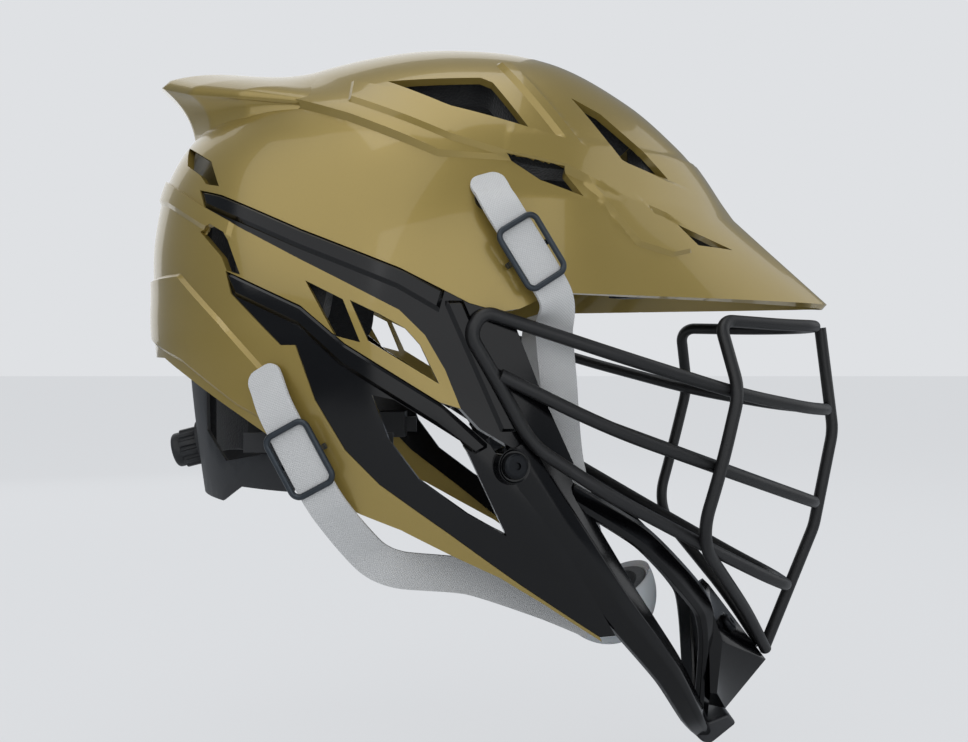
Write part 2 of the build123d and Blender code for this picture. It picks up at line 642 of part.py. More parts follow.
def crown_liner():
    """Pad under the crown, open at the vents."""
    return liner_pad(CROWN_LINER_SHARES, -WALL) - [prism(vent) for vent in CROWN_VENT_SHARES]


# Fit system: cradle behind the neck, its side straps and guides, and the dial
CRADLE_DROP = 14.0
CRADLE_THICKNESS = 3.0
CRADLE_SHARES = [
    (-0.600, -0.035), (-0.300, -0.060), (-0.205, -0.120), (-0.180, -0.172), (-0.205, -0.213), (-0.300, -0.210),
    (-0.340, -0.232), (-0.400, -0.228), (-0.600, -0.160),
]
CRADLE_WINDOW_SHARES = [
    (-0.370, -0.080), (-0.300, -0.088), (-0.235, -0.135), (-0.250, -0.165), (-0.330, -0.178), (-0.372, -0.140),
]
CRADLE_PAD_THICKNESS = 6.0
CRADLE_PAD_GAP = 0.3
CRADLE_PAD_SHARES = [(-0.600, -0.060), (-0.385, -0.060), (-0.385, -0.190), (-0.600, -0.150)]
STRAP_BAR = (60.0, 2.5, 8.0)
STRAP_BAR_SHARE = (-0.164, 0.790, -0.150)
GUIDE_LENGTH = 14.0
GUIDE_SHARE = (-0.096, 0.790, -0.150)
GUIDE_WALL = 2.5
GUIDE_CLEARANCE = 0.4


def cradle():
    """Nape cradle with a window and a straight strap bar at each side, and the dial's seat."""
    band = skin(-CRADLE_DROP, -CRADLE_DROP - CRADLE_THICKNESS, CRADLE_SHARES) - prism(CRADLE_WINDOW_SHARES)
    bar = Pos(located([STRAP_BAR_SHARE])[0]) * Box(*STRAP_BAR)
    seat = dial_plane() * Pos(0, 0, -SEAT_DEPTH / 2) * Cylinder(SEAT_DIAMETER / 2, SEAT_DEPTH)
    hole = dial_plane() * Cylinder(AXLE_DIAMETER / 2, OVERRUN)
    return band + [bar, mirrored(bar), seat] - hole


def cradle_pad():
    """Foam pad in front of the cradle."""
    depth = CRADLE_DROP + CRADLE_THICKNESS + CRADLE_PAD_GAP
    return skin(-depth, -depth - CRADLE_PAD_THICKNESS, CRADLE_PAD_SHARES)


def guide():
    """Left guide on the inside of the shell, round the strap bar."""
    length, thickness, height = STRAP_BAR
    reach = WIDTH / 4
    center = located([GUIDE_SHARE])[0]
    inner = thickness / 2 + GUIDE_CLEARANCE + GUIDE_WALL
    full_height = height + 2 * (GUIDE_CLEARANCE + GUIDE_WALL)
    block = Box(GUIDE_LENGTH, reach, full_height, align=(Align.CENTER, Align.MIN, Align.CENTER))
    slot = Box(OVERRUN, thickness + 2 * GUIDE_CLEARANCE, height + 2 * GUIDE_CLEARANCE)
    block = Pos(0, -inner, 0) * block - slot
    return (Pos(center) * block) & form(-FRAME_DEPTH)


# Dial: ribbed knob on the cradle's seat, turning about an axis that leaves the nape squarely
DIAL_SHARE = (-0.430, -0.168)
DIAL_TILT = 14.0
DIAL_DIAMETER = 18.0
DIAL_THICKNESS = 8.0
DIAL_CLEARANCE = 0.4
GRIP_COUNT = 12
GRIP_DIAMETER = 2.4
CAP_DIAMETER = 16.0
CAP_THICKNESS = 4.5
SEAT_DIAMETER = 22.0
SEAT_DEPTH = 3.0
AXLE_DIAMETER = 4.0
AXLE_ROOT = 4.0
AXLE_HEAD_DIAMETER = 8.0
AXLE_HEAD_THICKNESS = 1.5


def dial_plane():
    """Plane of the dial's seat; its Z axis is the dial's axis."""
    x, z = placed([DIAL_SHARE])[0]
    tilt = math.radians(DIAL_TILT)
    return Plane(origin=(x, 0, z), x_dir=(0, 1, 0), z_dir=(-math.cos(tilt), 0, -math.sin(tilt)))


def fit_dial():
    """Ribbed dial with its bore."""
    body = Cylinder(DIAL_DIAMETER / 2, DIAL_THICKNESS, align=(Align.CENTER, Align.CENTER, Align.MIN))
    grips = PolarLocations(DIAL_DIAMETER / 2, GRIP_COUNT) * Cylinder(GRIP_DIAMETER / 2, OVERRUN)
    body = body - grips - Cylinder(AXLE_DIAMETER / 2 + DIAL_CLEARANCE, OVERRUN)
    return dial_plane() * Pos(0, 0, DIAL_CLEARANCE) * body


def dial_cap():
    """Domed cap on the dial."""
    cap = Cylinder(CAP_DIAMETER / 2, CAP_THICKNESS, align=(Align.CENTER, Align.CENTER, Align.MIN))
    cap = fillet(cap.edges().group_by(Axis.Z)[-1], CAP_THICKNESS * 0.4)
    cap -= Cylinder(AXLE_HEAD_DIAMETER / 2 + DIAL_CLEARANCE, 2 * (AXLE_HEAD_THICKNESS + DIAL_CLEARANCE))
    return dial_plane() * Pos(0, 0, DIAL_CLEARANCE + DIAL_THICKNESS) * cap


def dial_axle():
    """Axle fixed in the cradle, with the head that keeps the dial on."""
    reach = DIAL_CLEARANCE + DIAL_THICKNESS + DIAL_CLEARANCE
    length = AXLE_ROOT + reach
    shaft = Cylinder(AXLE_DIAMETER / 2, length, align=(Align.CENTER, Align.CENTER, Align.MIN))
    shaft = Pos(0, 0, -AXLE_ROOT) * shaft
    thickness = AXLE_HEAD_THICKNESS - DIAL_CLEARANCE
    head = Cylinder(AXLE_HEAD_DIAMETER / 2, thickness, align=(Align.CENTER, Align.CENTER, Align.MIN))
    return dial_plane() * (shaft + Pos(0, 0, reach) * head)


# Chin strap: flat webbing from snaps on the shell to the cup, with a wire buckle on each run
WEBBING_WIDTH = 15.0
WEBBING_THICKNESS = 1.6
FRONT_TAB_LIFT = 3.2
REAR_TAB_LIFT = 2.2
FRONT_TAB_SHARES = [(0.102, 0.153), (0.126, 0.131), (0.202, 0.033)]
FRONT_RUN_LIFT = 6.4
FRONT_FREE_SHARES = [
    (0.214, 0.812, -0.010), (0.222, 0.760, -0.072), (0.240, 0.630, -0.188), (0.312, 0.378, -0.380),
]
REAR_TAB_SHARES = [(-0.228, -0.077), (-0.206, -0.112), (-0.138, -0.214)]
REAR_RUN_LIFT = 6.4
REAR_FREE_SHARES = [
    (-0.080, 0.846, -0.289), (-0.033, 0.788, -0.310), (0.079, 0.625, -0.328), (0.208, 0.450, -0.372),
    (0.292, 0.402, -0.402),
]
BUCKLE_LENGTH = 26.0
BUCKLE_WIRE = 2.4
BUCKLE_SIDE_CLEARANCE = 0.5
BUCKLE_LIFT_CLEARANCE = 0.3
BUCKLE_CORNER = 3.5
SNAP_DIAMETER = 9.0
SNAP_LENGTH = 4.5


def strap_route(tab, lift, free):
    """Middle line of a left run of webbing, from its tab to the cup, with its outward directions."""
    tab_lift = REAR_TAB_LIFT + LEDGE_RISE if tab is REAR_TAB_SHARES else FRONT_TAB_LIFT
    places = placed(tab)
    outwards = [outward(x, z) for x, z in places]
    lifts = (tab_lift, lift, lift)
    centers = [on_surface(x, z) + out * rise for (x, z), out, rise in zip(places, outwards, lifts)]
    return centers + located(free), outwards + [Vector(0, 1, 0)] * len(free)


def tab_plane(tab, lift, free):
    """Plane in the middle of the tab's thickness; Z leaves the shell."""
    centers, outwards = strap_route(tab, lift, free)
    along = centers[1] - centers[0]
    return Plane(origin=centers[0], z_dir=along.cross(outwards[0]).cross(along))


def strap(tab, lift, free):
    """Left run of webbing: a rounded tab on the shell, a straight run and the free run to the cup."""
    centers, outwards = strap_route(tab, lift, free)
    half = WEBBING_THICKNESS / 2
    section = [(-1, half), (1, half), (1, -half), (-1, -half)]
    band = strip_loft(centers, outwards, [WEBBING_WIDTH] * len(centers), section)
    return band + tab_plane(tab, lift, free) * Cylinder(WEBBING_WIDTH / 2, WEBBING_THICKNESS)


def run_plane(tab, lift):
    """Plane at the middle of a straight run: X along the webbing, Z away from the shell."""
    start, end = [on_surface(x, z) + outward(x, z) * lift for x, z in placed(tab[1:])]
    along = (end - start).normalized()
    x, z = (start.X + end.X) / 2, (start.Z + end.Z) / 2
    return Plane(origin=(start + end) / 2, x_dir=along, z_dir=along.cross(outward(x, z)).cross(along))


def buckle(tab, lift):
    """Left wire buckle: a loop over the webbing and a bar under it."""
    rise = WEBBING_THICKNESS / 2 + BUCKLE_LIFT_CLEARANCE + BUCKLE_WIRE / 2
    side = WEBBING_WIDTH / 2 + BUCKLE_SIDE_CLEARANCE + BUCKLE_WIRE / 2
    outline = RectangleRounded(BUCKLE_LENGTH, 2 * side, BUCKLE_CORNER).wire()
    ends = Plane(origin=outline @ 0, z_dir=outline % 0)
    loop = Pos(0, 0, rise) * sweep(ends * Circle(BUCKLE_WIRE / 2), path=outline)
    bar = Pos(0, 0, -rise) * Rot(90, 0, 0) * Cylinder(BUCKLE_WIRE / 2, 2 * side + BUCKLE_WIRE)
    thick = BUCKLE_WIRE * 0.8
    posts = [Pos(0, sign * side, 0) * Box(thick, thick, 2 * rise) for sign in (-1, 1)]
    return run_plane(tab, lift) * (loop + [bar] + posts)


def snap(tab, lift, free):
    """Left snap stud, pressed into the shell under the tab."""
    stud = Cylinder(SNAP_DIAMETER / 2, SNAP_LENGTH, align=(Align.CENTER, Align.CENTER, Align.MAX))
    return tab_plane(tab, lift, free) * Pos(0, 0, -WEBBING_THICKNESS / 2) * stud


# Chin cup: half a hollow egg, open towards the mouth
CUP_SHARE = (0.328, -0.381)
CUP_RADII = (24.0, 38.0, 25.0)
CUP_TILT = 30.0
CUP_WALL = 3.0
CUP_PAD_THICKNESS = 5.0


def egg(inset):
    """Egg shape of the cup, moved inward by the inset."""
    return scale(Sphere(1), by=tuple(radius - inset for radius in CUP_RADII))


def cup_layer(outer, inner):
    """Lower half of the egg between two insets, tilted towards the chin."""
    half = Box(LENGTH, LENGTH, LENGTH, align=(Align.CENTER, Align.CENTER, Align.MAX))
    x, z = placed([CUP_SHARE])[0]
    return Pos(x, 0, z) * Rot(0, -CUP_TILT, 0) * ((egg(outer) - egg(inner)) & half)


def one_sided_parts():
    """Left pieces that have a twin on the right."""
    return {
        "upper_frame": upper_frame(),
        "lower_frame": lower_frame(),
        "cage_side_loop": side_loop(),
        "cage_side_bar": side_bar(),
        "side_liner": liner_pad(SIDE_LINER_SHARES, -FRAME_DEPTH, near=0),
        "guide": guide(),
        "front_strap": strap(FRONT_TAB_SHARES, FRONT_RUN_LIFT, FRONT_FREE_SHARES),
        "rear_strap": strap(REAR_TAB_SHARES, REAR_RUN_LIFT, REAR_FREE_SHARES),
        "front_buckle": buckle(FRONT_TAB_SHARES, FRONT_RUN_LIFT),
        "rear_buckle": buckle(REAR_TAB_SHARES, REAR_RUN_LIFT),
        "front_snap": snap(FRONT_TAB_SHARES, FRONT_RUN_LIFT, FRONT_FREE_SHARES),
        "rear_snap": snap(REAR_TAB_SHARES, REAR_RUN_LIFT, REAR_FREE_SHARES),
    }


def central_parts():
    """Pieces on the middle plane, and pairs of fasteners."""
    arm_depth = BOSS_RISE + ARM_DEPTH
    return {
        "crown_shell": crown_shell(),
        "rear_shell": rear_shell(),
        "chin_guard": chin_guard(),
        "chin_plate": chin_plate(),
        "cage_top_bar": top_bar(),
        "cage_upper_bar": crossing_bar("upper"),
        "cage_middle_bar": crossing_bar("middle"),
        "cage_lower_bar": crossing_bar("lower"),
        "cage_center_bar": center_bar(),
        "side_bolts": pair(bolt(bolt_plane(), HEAD_DIAMETER, arm_depth + NUT_HEIGHT)),
        "side_nuts": pair(square_nut(bolt_plane(), arm_depth)),
        "chin_bolts": pair(bolt(chin_bolt_plane(), CHIN_HEAD_DIAMETER, CHIN_SHANK_LENGTH)),
        "crown_liner": crown_liner(),
        "rear_liner": liner_pad(REAR_LINER_SHARES, -WALL),
        "brow_pad": liner_pad(BROW_PAD_SHARES, -WALL),
        "cradle": cradle(),
        "cradle_pad": cradle_pad(),
        "fit_dial": fit_dial(),
        "dial_cap": dial_cap(),
        "dial_axle": dial_axle(),
        "chin_cup": cup_layer(0, CUP_WALL),
        "chin_cup_pad": cup_layer(CUP_WALL, CUP_WALL + CUP_PAD_THICKNESS),
    }


os.makedirs("parts", exist_ok=True)
for name, piece in central_parts().items():
    export_step(piece, f"parts/{name}.step")
for name, piece in one_sided_parts().items():
    export_step(piece, f"parts/{name}_left.step")
    export_step(mirrored(piece), f"parts/{name}_right.step")
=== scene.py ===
import math
import bmesh
import bpy
from mathutils import Matrix, Vector


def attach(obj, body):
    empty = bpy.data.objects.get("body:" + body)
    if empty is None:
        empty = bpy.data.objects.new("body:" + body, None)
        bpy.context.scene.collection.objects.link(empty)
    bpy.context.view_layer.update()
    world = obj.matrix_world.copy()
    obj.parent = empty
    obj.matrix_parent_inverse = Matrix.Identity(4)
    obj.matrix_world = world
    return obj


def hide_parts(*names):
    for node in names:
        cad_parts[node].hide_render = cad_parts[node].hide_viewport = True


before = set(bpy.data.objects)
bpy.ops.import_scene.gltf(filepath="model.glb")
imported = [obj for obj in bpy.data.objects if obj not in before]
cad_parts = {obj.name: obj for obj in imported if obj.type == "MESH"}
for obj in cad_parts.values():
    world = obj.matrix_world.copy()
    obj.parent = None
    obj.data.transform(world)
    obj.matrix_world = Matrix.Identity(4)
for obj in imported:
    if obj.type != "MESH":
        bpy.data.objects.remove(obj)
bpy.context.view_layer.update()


# Camera and studio: the photograph looks square at the right side, from level with the ear.
# The helmet is shown over a pale floor against a pale background, under soft light from all round.
def linear(code):
    """sRGB hex value as a linear colour."""
    parts = [int(code[i:i + 2], 16) / 255 for i in (1, 3, 5)]
    return [c / 12.92 if c <= 0.04045 else ((c + 0.055) / 1.055) ** 2.4 for c in parts] + [1.0]


def node(tree, kind, settings=None, inputs=None):
    """Adds a node; an input is a value or the socket that feeds it."""
    made = tree.nodes.new(kind)
    for name, value in (settings or {}).items():
        setattr(made, name, value)
    for name, value in (inputs or {}).items():
        if isinstance(value, bpy.types.NodeSocket):
            tree.links.new(value, made.inputs[name])
        else:
            made.inputs[name].default_value = value
    return made


def new_material(name):
    """Empty material and its node tree."""
    material = bpy.data.materials.new(name)
    material.use_nodes = True
    material.node_tree.nodes.clear()
    return material, material.node_tree


def finish_material(tree, inputs):
    """Gives the material its surface from these inputs."""
    surface = node(tree, "ShaderNodeBsdfPrincipled", inputs=inputs)
    node(tree, "ShaderNodeOutputMaterial", inputs={"Surface": surface.outputs["BSDF"]})


def put(bm, name, material, body, crease=0):
    """Makes a painted object of a bmesh, riding on its body; edges sharper than the crease stay crisp."""
    mesh = bpy.data.meshes.new(name)
    bm.to_mesh(mesh)
    bm.free()
    piece = bpy.data.objects.new(name, mesh)
    bpy.context.scene.collection.objects.link(piece)
    mesh.materials.append(material)
    for polygon in mesh.polygons:
        polygon.use_smooth = True
    if crease:
        mesh.set_sharp_from_angle(angle=math.radians(crease))
    if body:
        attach(piece, body)
    return piece


lens = bpy.data.cameras.new("camera")
lens.sensor_width = 36.0
lens.lens = 43.76
eye = bpy.data.objects.new("camera", lens)
bpy.context.scene.collection.objects.link(eye)
eye.location = (0.0255, -0.555, -0.0193)
eye.rotation_euler = (math.radians(90), 0, 0)
bpy.context.scene.camera = eye
bpy.context.scene.view_settings.view_transform = "Standard"

FLOOR_LEVEL = -0.198
# The paper's faint mottling shows up close; the share of it that glows keeps the floor as light as the
# background.
sweep, tree = new_material("matt paper backdrop")
paper = node(tree, "ShaderNodeTexNoise", inputs={"Scale": 30.0})
tint = node(tree, "ShaderNodeMix", {"data_type": "RGBA"}, {
    "Factor": paper.outputs["Fac"], "A": linear("#d9dbde"), "B": linear("#dddfe1")})
paint = node(tree, "ShaderNodeBsdfPrincipled", inputs={
    "Base Color": tint.outputs["Result"], "Roughness": 0.9})
rays = node(tree, "ShaderNodeLightPath")
share = node(tree, "ShaderNodeMath", {"operation": "MULTIPLY"}, {0: rays.outputs["Is Camera Ray"], 1: 0.88})
glow = node(tree, "ShaderNodeEmission", inputs={"Color": linear("#dfe1e4"), "Strength": 1.0})
both = node(tree, "ShaderNodeMixShader", inputs={
    0: share.outputs[0], 1: paint.outputs["BSDF"], 2: glow.outputs["Emission"]})
node(tree, "ShaderNodeOutputMaterial", inputs={"Surface": both.outputs["Shader"]})
bm = bmesh.new()
bmesh.ops.create_grid(bm, x_segments=2, y_segments=2, size=40.0)
bmesh.ops.translate(bm, verts=bm.verts, vec=(0, 0, FLOOR_LEVEL))
floor = put(bm, "floor", sweep, None)

world = bpy.data.worlds.new("studio")
bpy.context.scene.world = world
world.use_nodes = True
tree = world.node_tree
tree.nodes.clear()
rays = node(tree, "ShaderNodeLightPath")
seen = node(tree, "ShaderNodeMath", {"operation": "MAXIMUM"},
            {0: rays.outputs["Is Camera Ray"], 1: rays.outputs["Is Transmission Ray"]})
dim = node(tree, "ShaderNodeBackground", inputs={"Color": linear("#b4bcc6"), "Strength": 0.5})
pale = node(tree, "ShaderNodeBackground", inputs={"Color": linear("#dfe1e4"), "Strength": 1.0})
both = node(tree, "ShaderNodeMixShader", inputs={0: seen.outputs[0], 1: dim.outputs[0], 2: pale.outputs[0]})
node(tree, "ShaderNodeOutputWorld", inputs={"Surface": both.outputs[0]})

for name, place, size, power in (
    ("key", (-0.65, -1.05, 0.95), 1.8, 9.5),
    ("fill", (0.55, -1.25, 0.05), 1.5, 7.0),
    ("top", (0.05, -0.10, 1.30), 1.0, 4.5),
    ("back", (-0.50, 1.10, 0.60), 1.4, 5.0),
    ("front", (1.30, 0.30, 0.50), 1.2, 3.5),
):
    lamp = bpy.data.lights.new(name, "AREA")
    lamp.size = size
    lamp.energy = power
    lit = bpy.data.objects.new(name, lamp)
    bpy.context.scene.collection.objects.link(lit)
    lit.location = place
    lit.rotation_euler = (Vector((0.02, 0, -0.02)) - Vector(place)).to_track_quat("-Z", "Y").to_euler()


# Crown shell: one moulding in impact-resistant nylon, sprayed metallic gold and clear-coated.
# Its surface bulges like an egg, flows forward into the visor, and carries raised bands round its vents.
LENGTH, HALF_WIDTH, HEIGHT = 0.250, 0.104, 0.320
ROUNDNESS = 2.3
HANDS = (("left", 1), ("right", -1))
SHELL_WALL = 0.0032
PROFILE = [
    (0.544, 0.125), (0.528, 0.191), (0.490, 0.239), (0.441, 0.278), (0.385, 0.315), (0.313, 0.349),
    (0.198, 0.382), (0.060, 0.393), (-0.079, 0.384), (-0.198, 0.362), (-0.317, 0.328), (-0.418, 0.273),
    (-0.472, 0.209), (-0.498, 0.125), (-0.500, 0.031), (-0.484, -0.125), (-0.432, -0.344), (-0.280, -0.516),
    (-0.060, -0.609), (0.188, -0.631), (0.364, -0.619), (0.468, -0.609), (0.528, -0.588), (0.540, -0.528),
    (0.516, -0.456), (0.484, -0.369), (0.460, -0.287), (0.472, -0.181), (0.516, -0.062), (0.544, 0.031),
]


def side(points):
    """Side-view points in metres from shares of the length and the height."""
    return [(x * LENGTH, z * HEIGHT) for x, z in points]


POLE = side([(-0.048, -0.031)])[0]
RAYS = sorted((math.atan2(z - POLE[1], x - POLE[0]) % math.tau, math.hypot(x - POLE[0], z - POLE[1]))
              for x, z in side(PROFILE))


def profile_radius(angle):
    """Distance from the pole to the side profile, on a smooth curve through its points."""
    angle = angle % math.tau
    count = len(RAYS)
    after = next((i for i, ray in enumerate(RAYS) if ray[0] > angle), count)
    near = []
    for step in range(after - 2, after + 2):
        turns, index = divmod(step, count)
        near.append((RAYS[index][0] + turns * math.tau, RAYS[index][1]))
    (a0, r0), (a1, r1), (a2, r2), (a3, r3) = near
    t = (angle - a1) / (a2 - a1)
    m1 = (r2 - r0) / (a2 - a0) * (a2 - a1)
    m2 = (r3 - r1) / (a3 - a1) * (a2 - a1)
    first = (2 * t**3 - 3 * t**2 + 1) * r1 + (t**3 - 2 * t**2 + t) * m1
    return first + (3 * t**2 - 2 * t**3) * r2 + (t**3 - t**2) * m2


def half_limit(x):
    """Half width of the widest level at this distance along the helmet."""
    along = x / LENGTH + 0.100
    return HALF_WIDTH * (1 - (1.08 if along > 0 else 0.36) * along**2)


def half_width(x, z, rise=0.0):
    """Half width of the egg at a side-view point."""
    angle = math.atan2(z - POLE[1], x - POLE[0])
    ratio = math.hypot(x - POLE[0], z - POLE[1]) / (profile_radius(angle) + rise)
    return 0.0 if ratio >= 1 else (half_limit(x) + rise) * (1 - ratio**ROUNDNESS) ** (1 / ROUNDNESS)


def egg_point(angle, lean, rise):
    """Point of the egg: angle round the side view, and lean from the middle plane, up to a quarter turn."""
    radius = (profile_radius(angle) + rise) * max(math.cos(lean), 0) ** (2 / ROUNDNESS)
    x, z = POLE[0] + radius * math.cos(angle), POLE[1] + radius * math.sin(angle)
    return Vector((x, (half_limit(x) + rise) * math.sin(lean) ** (2 / ROUNDNESS), z))


def distance_outside(x, z, outline):
    """Distance from a side-view point to an outline, negative inside it."""
    nearest, inside = 1e9, False
    for (x0, z0), (x1, z1) in zip(outline, outline[1:] + outline[:1]):
        dx, dz = x1 - x0, z1 - z0
        t = min(max(((x - x0) * dx + (z - z0) * dz) / (dx * dx + dz * dz), 0), 1)
        nearest = min(nearest, math.hypot(x - x0 - t * dx, z - z0 - t * dz))
        if (z0 > z) != (z1 > z) and x < x0 + (z - z0) / dz * dx:
            inside = not inside
    return -nearest if inside else nearest


def ease(t):
    """Smooth step from 0 to 1."""
    t = min(max(t, 0), 1)
    return t * t * (3 - 2 * t)


def egg_sheet(rounds, leans, rise=0.0, start=0.0, end=math.tau, stretch=None):
    """Left half of the egg as a grid of faces."""
    bm = bmesh.new()
    bmesh.ops.create_grid(bm, x_segments=rounds, y_segments=leans, size=1)
    for v in bm.verts:
        angle = start + (end - start) * (v.co.x + 1) / 2
        lean = math.pi / 2 * (v.co.y + 1) / 2
        v.co = egg_point(angle, lean, rise)
        if stretch:
            v.co = stretch(v.co)
    bmesh.ops.remove_doubles(bm, verts=bm.verts, dist=0.00005)
    return bm


def score(bm, outline, spacing=0.003):
    """Cuts edges along a side-view outline, without taking anything away."""
    for (x0, z0), (x1, z1) in zip(outline, outline[1:] + outline[:1]):
        dx, dz = x1 - x0, z1 - z0
        size = dx * dx + dz * dz
        left, right = min(x0, x1) - spacing, max(x0, x1) + spacing
        low, high = min(z0, z1) - spacing, max(z0, z1) + spacing
        parts = set()
        for v in bm.verts:
            x, _, z = v.co
            if left < x < right and low < z < high:
                t = min(max(((x - x0) * dx + (z - z0) * dz) / size, 0), 1)
                if math.hypot(x - x0 - t * dx, z - z0 - t * dz) < spacing:
                    parts.update(v.link_faces)
        for f in list(parts):
            parts.update(f.edges)
            parts.update(f.verts)
        bmesh.ops.bisect_plane(bm, geom=list(parts), dist=1e-7, plane_co=(x0, 0, z0), plane_no=(dz, 0, -dx))


def grown(outline, by):
    """Outline with each run moved outward."""
    area = sum(x0 * z1 - x1 * z0 for (x0, z0), (x1, z1) in zip(outline, outline[1:] + outline[:1]))
    by = by if area > 0 else -by
    moved = []
    for i, (x, z) in enumerate(outline):
        (xa, za), (xb, zb) = outline[i - 1], outline[(i + 1) % len(outline)]
        before, after = Vector((x - xa, z - za)).normalized(), Vector((xb - x, zb - z)).normalized()
        out = Vector((before.y + after.y, -before.x - after.x))
        out *= by / max(out.length_squared / 2, 0.4)
        moved.append((x + out.x, z + out.y))
    return moved


def within(x, z, outline):
    """True inside a side-view outline."""
    crossings = 0
    x0, z0 = outline[-1]
    for x1, z1 in outline:
        if (z0 > z) != (z1 > z) and x < x0 + (z - z0) / (z1 - z0) * (x1 - x0):
            crossings += 1
        x0, z0 = x1, z1
    return crossings % 2 == 1


def trim(bm, outline, inside=True, spacing=0.003):
    """Cuts along an outline and keeps what is inside it, or outside it."""
    score(bm, outline, spacing)
    left, right = min(x for x, _ in outline), max(x for x, _ in outline)
    low, high = min(z for _, z in outline), max(z for _, z in outline)
    gone = []
    for f in bm.faces:
        x, _, z = f.calc_center_median()
        if (left < x < right and low < z < high and within(x, z, outline)) != inside:
            gone.append(f)
    bmesh.ops.delete(bm, geom=gone, context="FACES")


# Metallic paint under clear lacquer: flakes about 0.5 mm apart break up the broad highlight, and the lacquer
# adds a sharp second one.
gold, tree = new_material("lacquered metallic gold paint")
place = node(tree, "ShaderNodeTexCoord").outputs["Object"]
flake = node(tree, "ShaderNodeTexVoronoi", inputs={"Vector": place, "Scale": 2200.0})
drift = node(tree, "ShaderNodeTexNoise", inputs={"Vector": place, "Scale": 14.0, "Detail": 2.0})
shade = node(tree, "ShaderNodeMix", {"data_type": "RGBA"}, {
    "Factor": drift.outputs["Fac"], "A": linear("#988240"), "B": linear("#a18b48")})
glint = node(tree, "ShaderNodeMapRange", inputs={"Value": flake.outputs["Distance"], "From Max": 0.6,
                                                "To Min": 0.26, "To Max": 0.34})
peel = node(tree, "ShaderNodeTexNoise", inputs={"Vector": place, "Scale": 260.0})
skin_bump = node(tree, "ShaderNodeBump", inputs={"Height": peel.outputs["Fac"], "Strength": 0.02,
                                                 "Distance": 0.0004})
finish_material(tree, {
    "Base Color": shade.outputs["Result"], "Metallic": 0.40, "Roughness": glint.outputs["Result"],
    "Coat Weight": 0.6, "Coat Roughness": 0.05, "Normal": skin_bump.outputs["Normal"]})

SEAM = [(-0.500, 0.221), (-0.432, 0.187), (-0.352, 0.147)]
CROWN_EDGE = [
    (-0.365, 0.172), (-0.322, 0.162), (-0.184, 0.113), (-0.027, 0.064), (0.034, 0.040), (0.080, 0.022),
    (0.127, 0.012),
]
BROW_EDGE = [(0.158, 0.016), (0.199, 0.031), (0.224, 0.037)]
CROWN_VENTS = [
    [(-0.057, 0.311), (0.095, 0.319), (0.115, 0.312), (0.174, 0.247), (0.136, 0.252), (0.047, 0.273)],
    [(0.248, 0.300), (0.301, 0.283), (0.372, 0.241), (0.423, 0.200), (0.369, 0.208), (0.336, 0.219)],
    [(0.136, 0.208), (0.229, 0.196), (0.264, 0.162), (0.192, 0.180)],
    [(0.436, 0.136), (0.545, 0.108), (0.474, 0.110)],
    [(-0.415, 0.245), (-0.350, 0.211), (-0.328, 0.174), (-0.354, 0.179), (-0.368, 0.193), (-0.402, 0.212)],
]
CAP = [
    (-0.480, 0.300), (-0.340, 0.309), (-0.203, 0.285), (-0.114, 0.259), (-0.032, 0.231), (0.030, 0.210),
    (0.147, 0.208), (0.232, 0.197), (0.336, 0.164), (0.411, 0.150), (0.485, 0.124), (0.560, 0.150),
    (0.560, 0.420), (-0.480, 0.420),
]
BEAM = [
    (-0.112, 0.309), (-0.002, 0.284), (0.047, 0.268), (0.169, 0.244), (0.251, 0.229), (0.414, 0.196),
    (0.490, 0.182), (0.485, 0.124), (0.411, 0.150), (0.336, 0.164), (0.232, 0.197), (0.147, 0.208),
    (0.048, 0.229), (-0.112, 0.281),
]
RIBS = [
    [(0.129, 0.343), (0.144, 0.344), (0.258, 0.228), (0.234, 0.232)],
    [(0.250, 0.200), (0.316, 0.192), (0.450, 0.102), (0.420, 0.096), (0.360, 0.107)],
]
CAP_RISE, CAP_RIM, CAP_END = 0.0014, 0.0014, 0.055
BAR_RISE, BEAM_END = 0.0018, 0.085
STEP_WIDTH = 0.0016
RIM_WIDTH = 0.016
RIM_LEAD = 0.065
FADE_WIDTH = 0.035
NO_END = 0.300
EGG_REACH = (0.135, 0.130)
EDGE_ROUND = 0.0006
VISOR_LEVELS = [
    (0.037, [(0.12, 0.0), (0.24, 0.810), (0.38, 0.635), (0.51, 0.462), (0.62, 0.290), (0.708, 0.122),
             (0.748, 0.0)]),
    (0.160, [(0.12, 0.0), (0.24, 0.765), (0.36, 0.575), (0.45, 0.410), (0.515, 0.245), (0.553, 0.110),
             (0.572, 0.0)]),
    (0.234, [(0.12, 0.0), (0.24, 0.0), (0.35, 0.0), (0.42, 0.0), (0.46, 0.0), (0.485, 0.0), (0.504, 0.0)]),
]
VISOR_BACK, VISOR_FOOT, VISOR_TOP = 0.034, -0.006, 0.080
VISOR_BLEND = 0.030


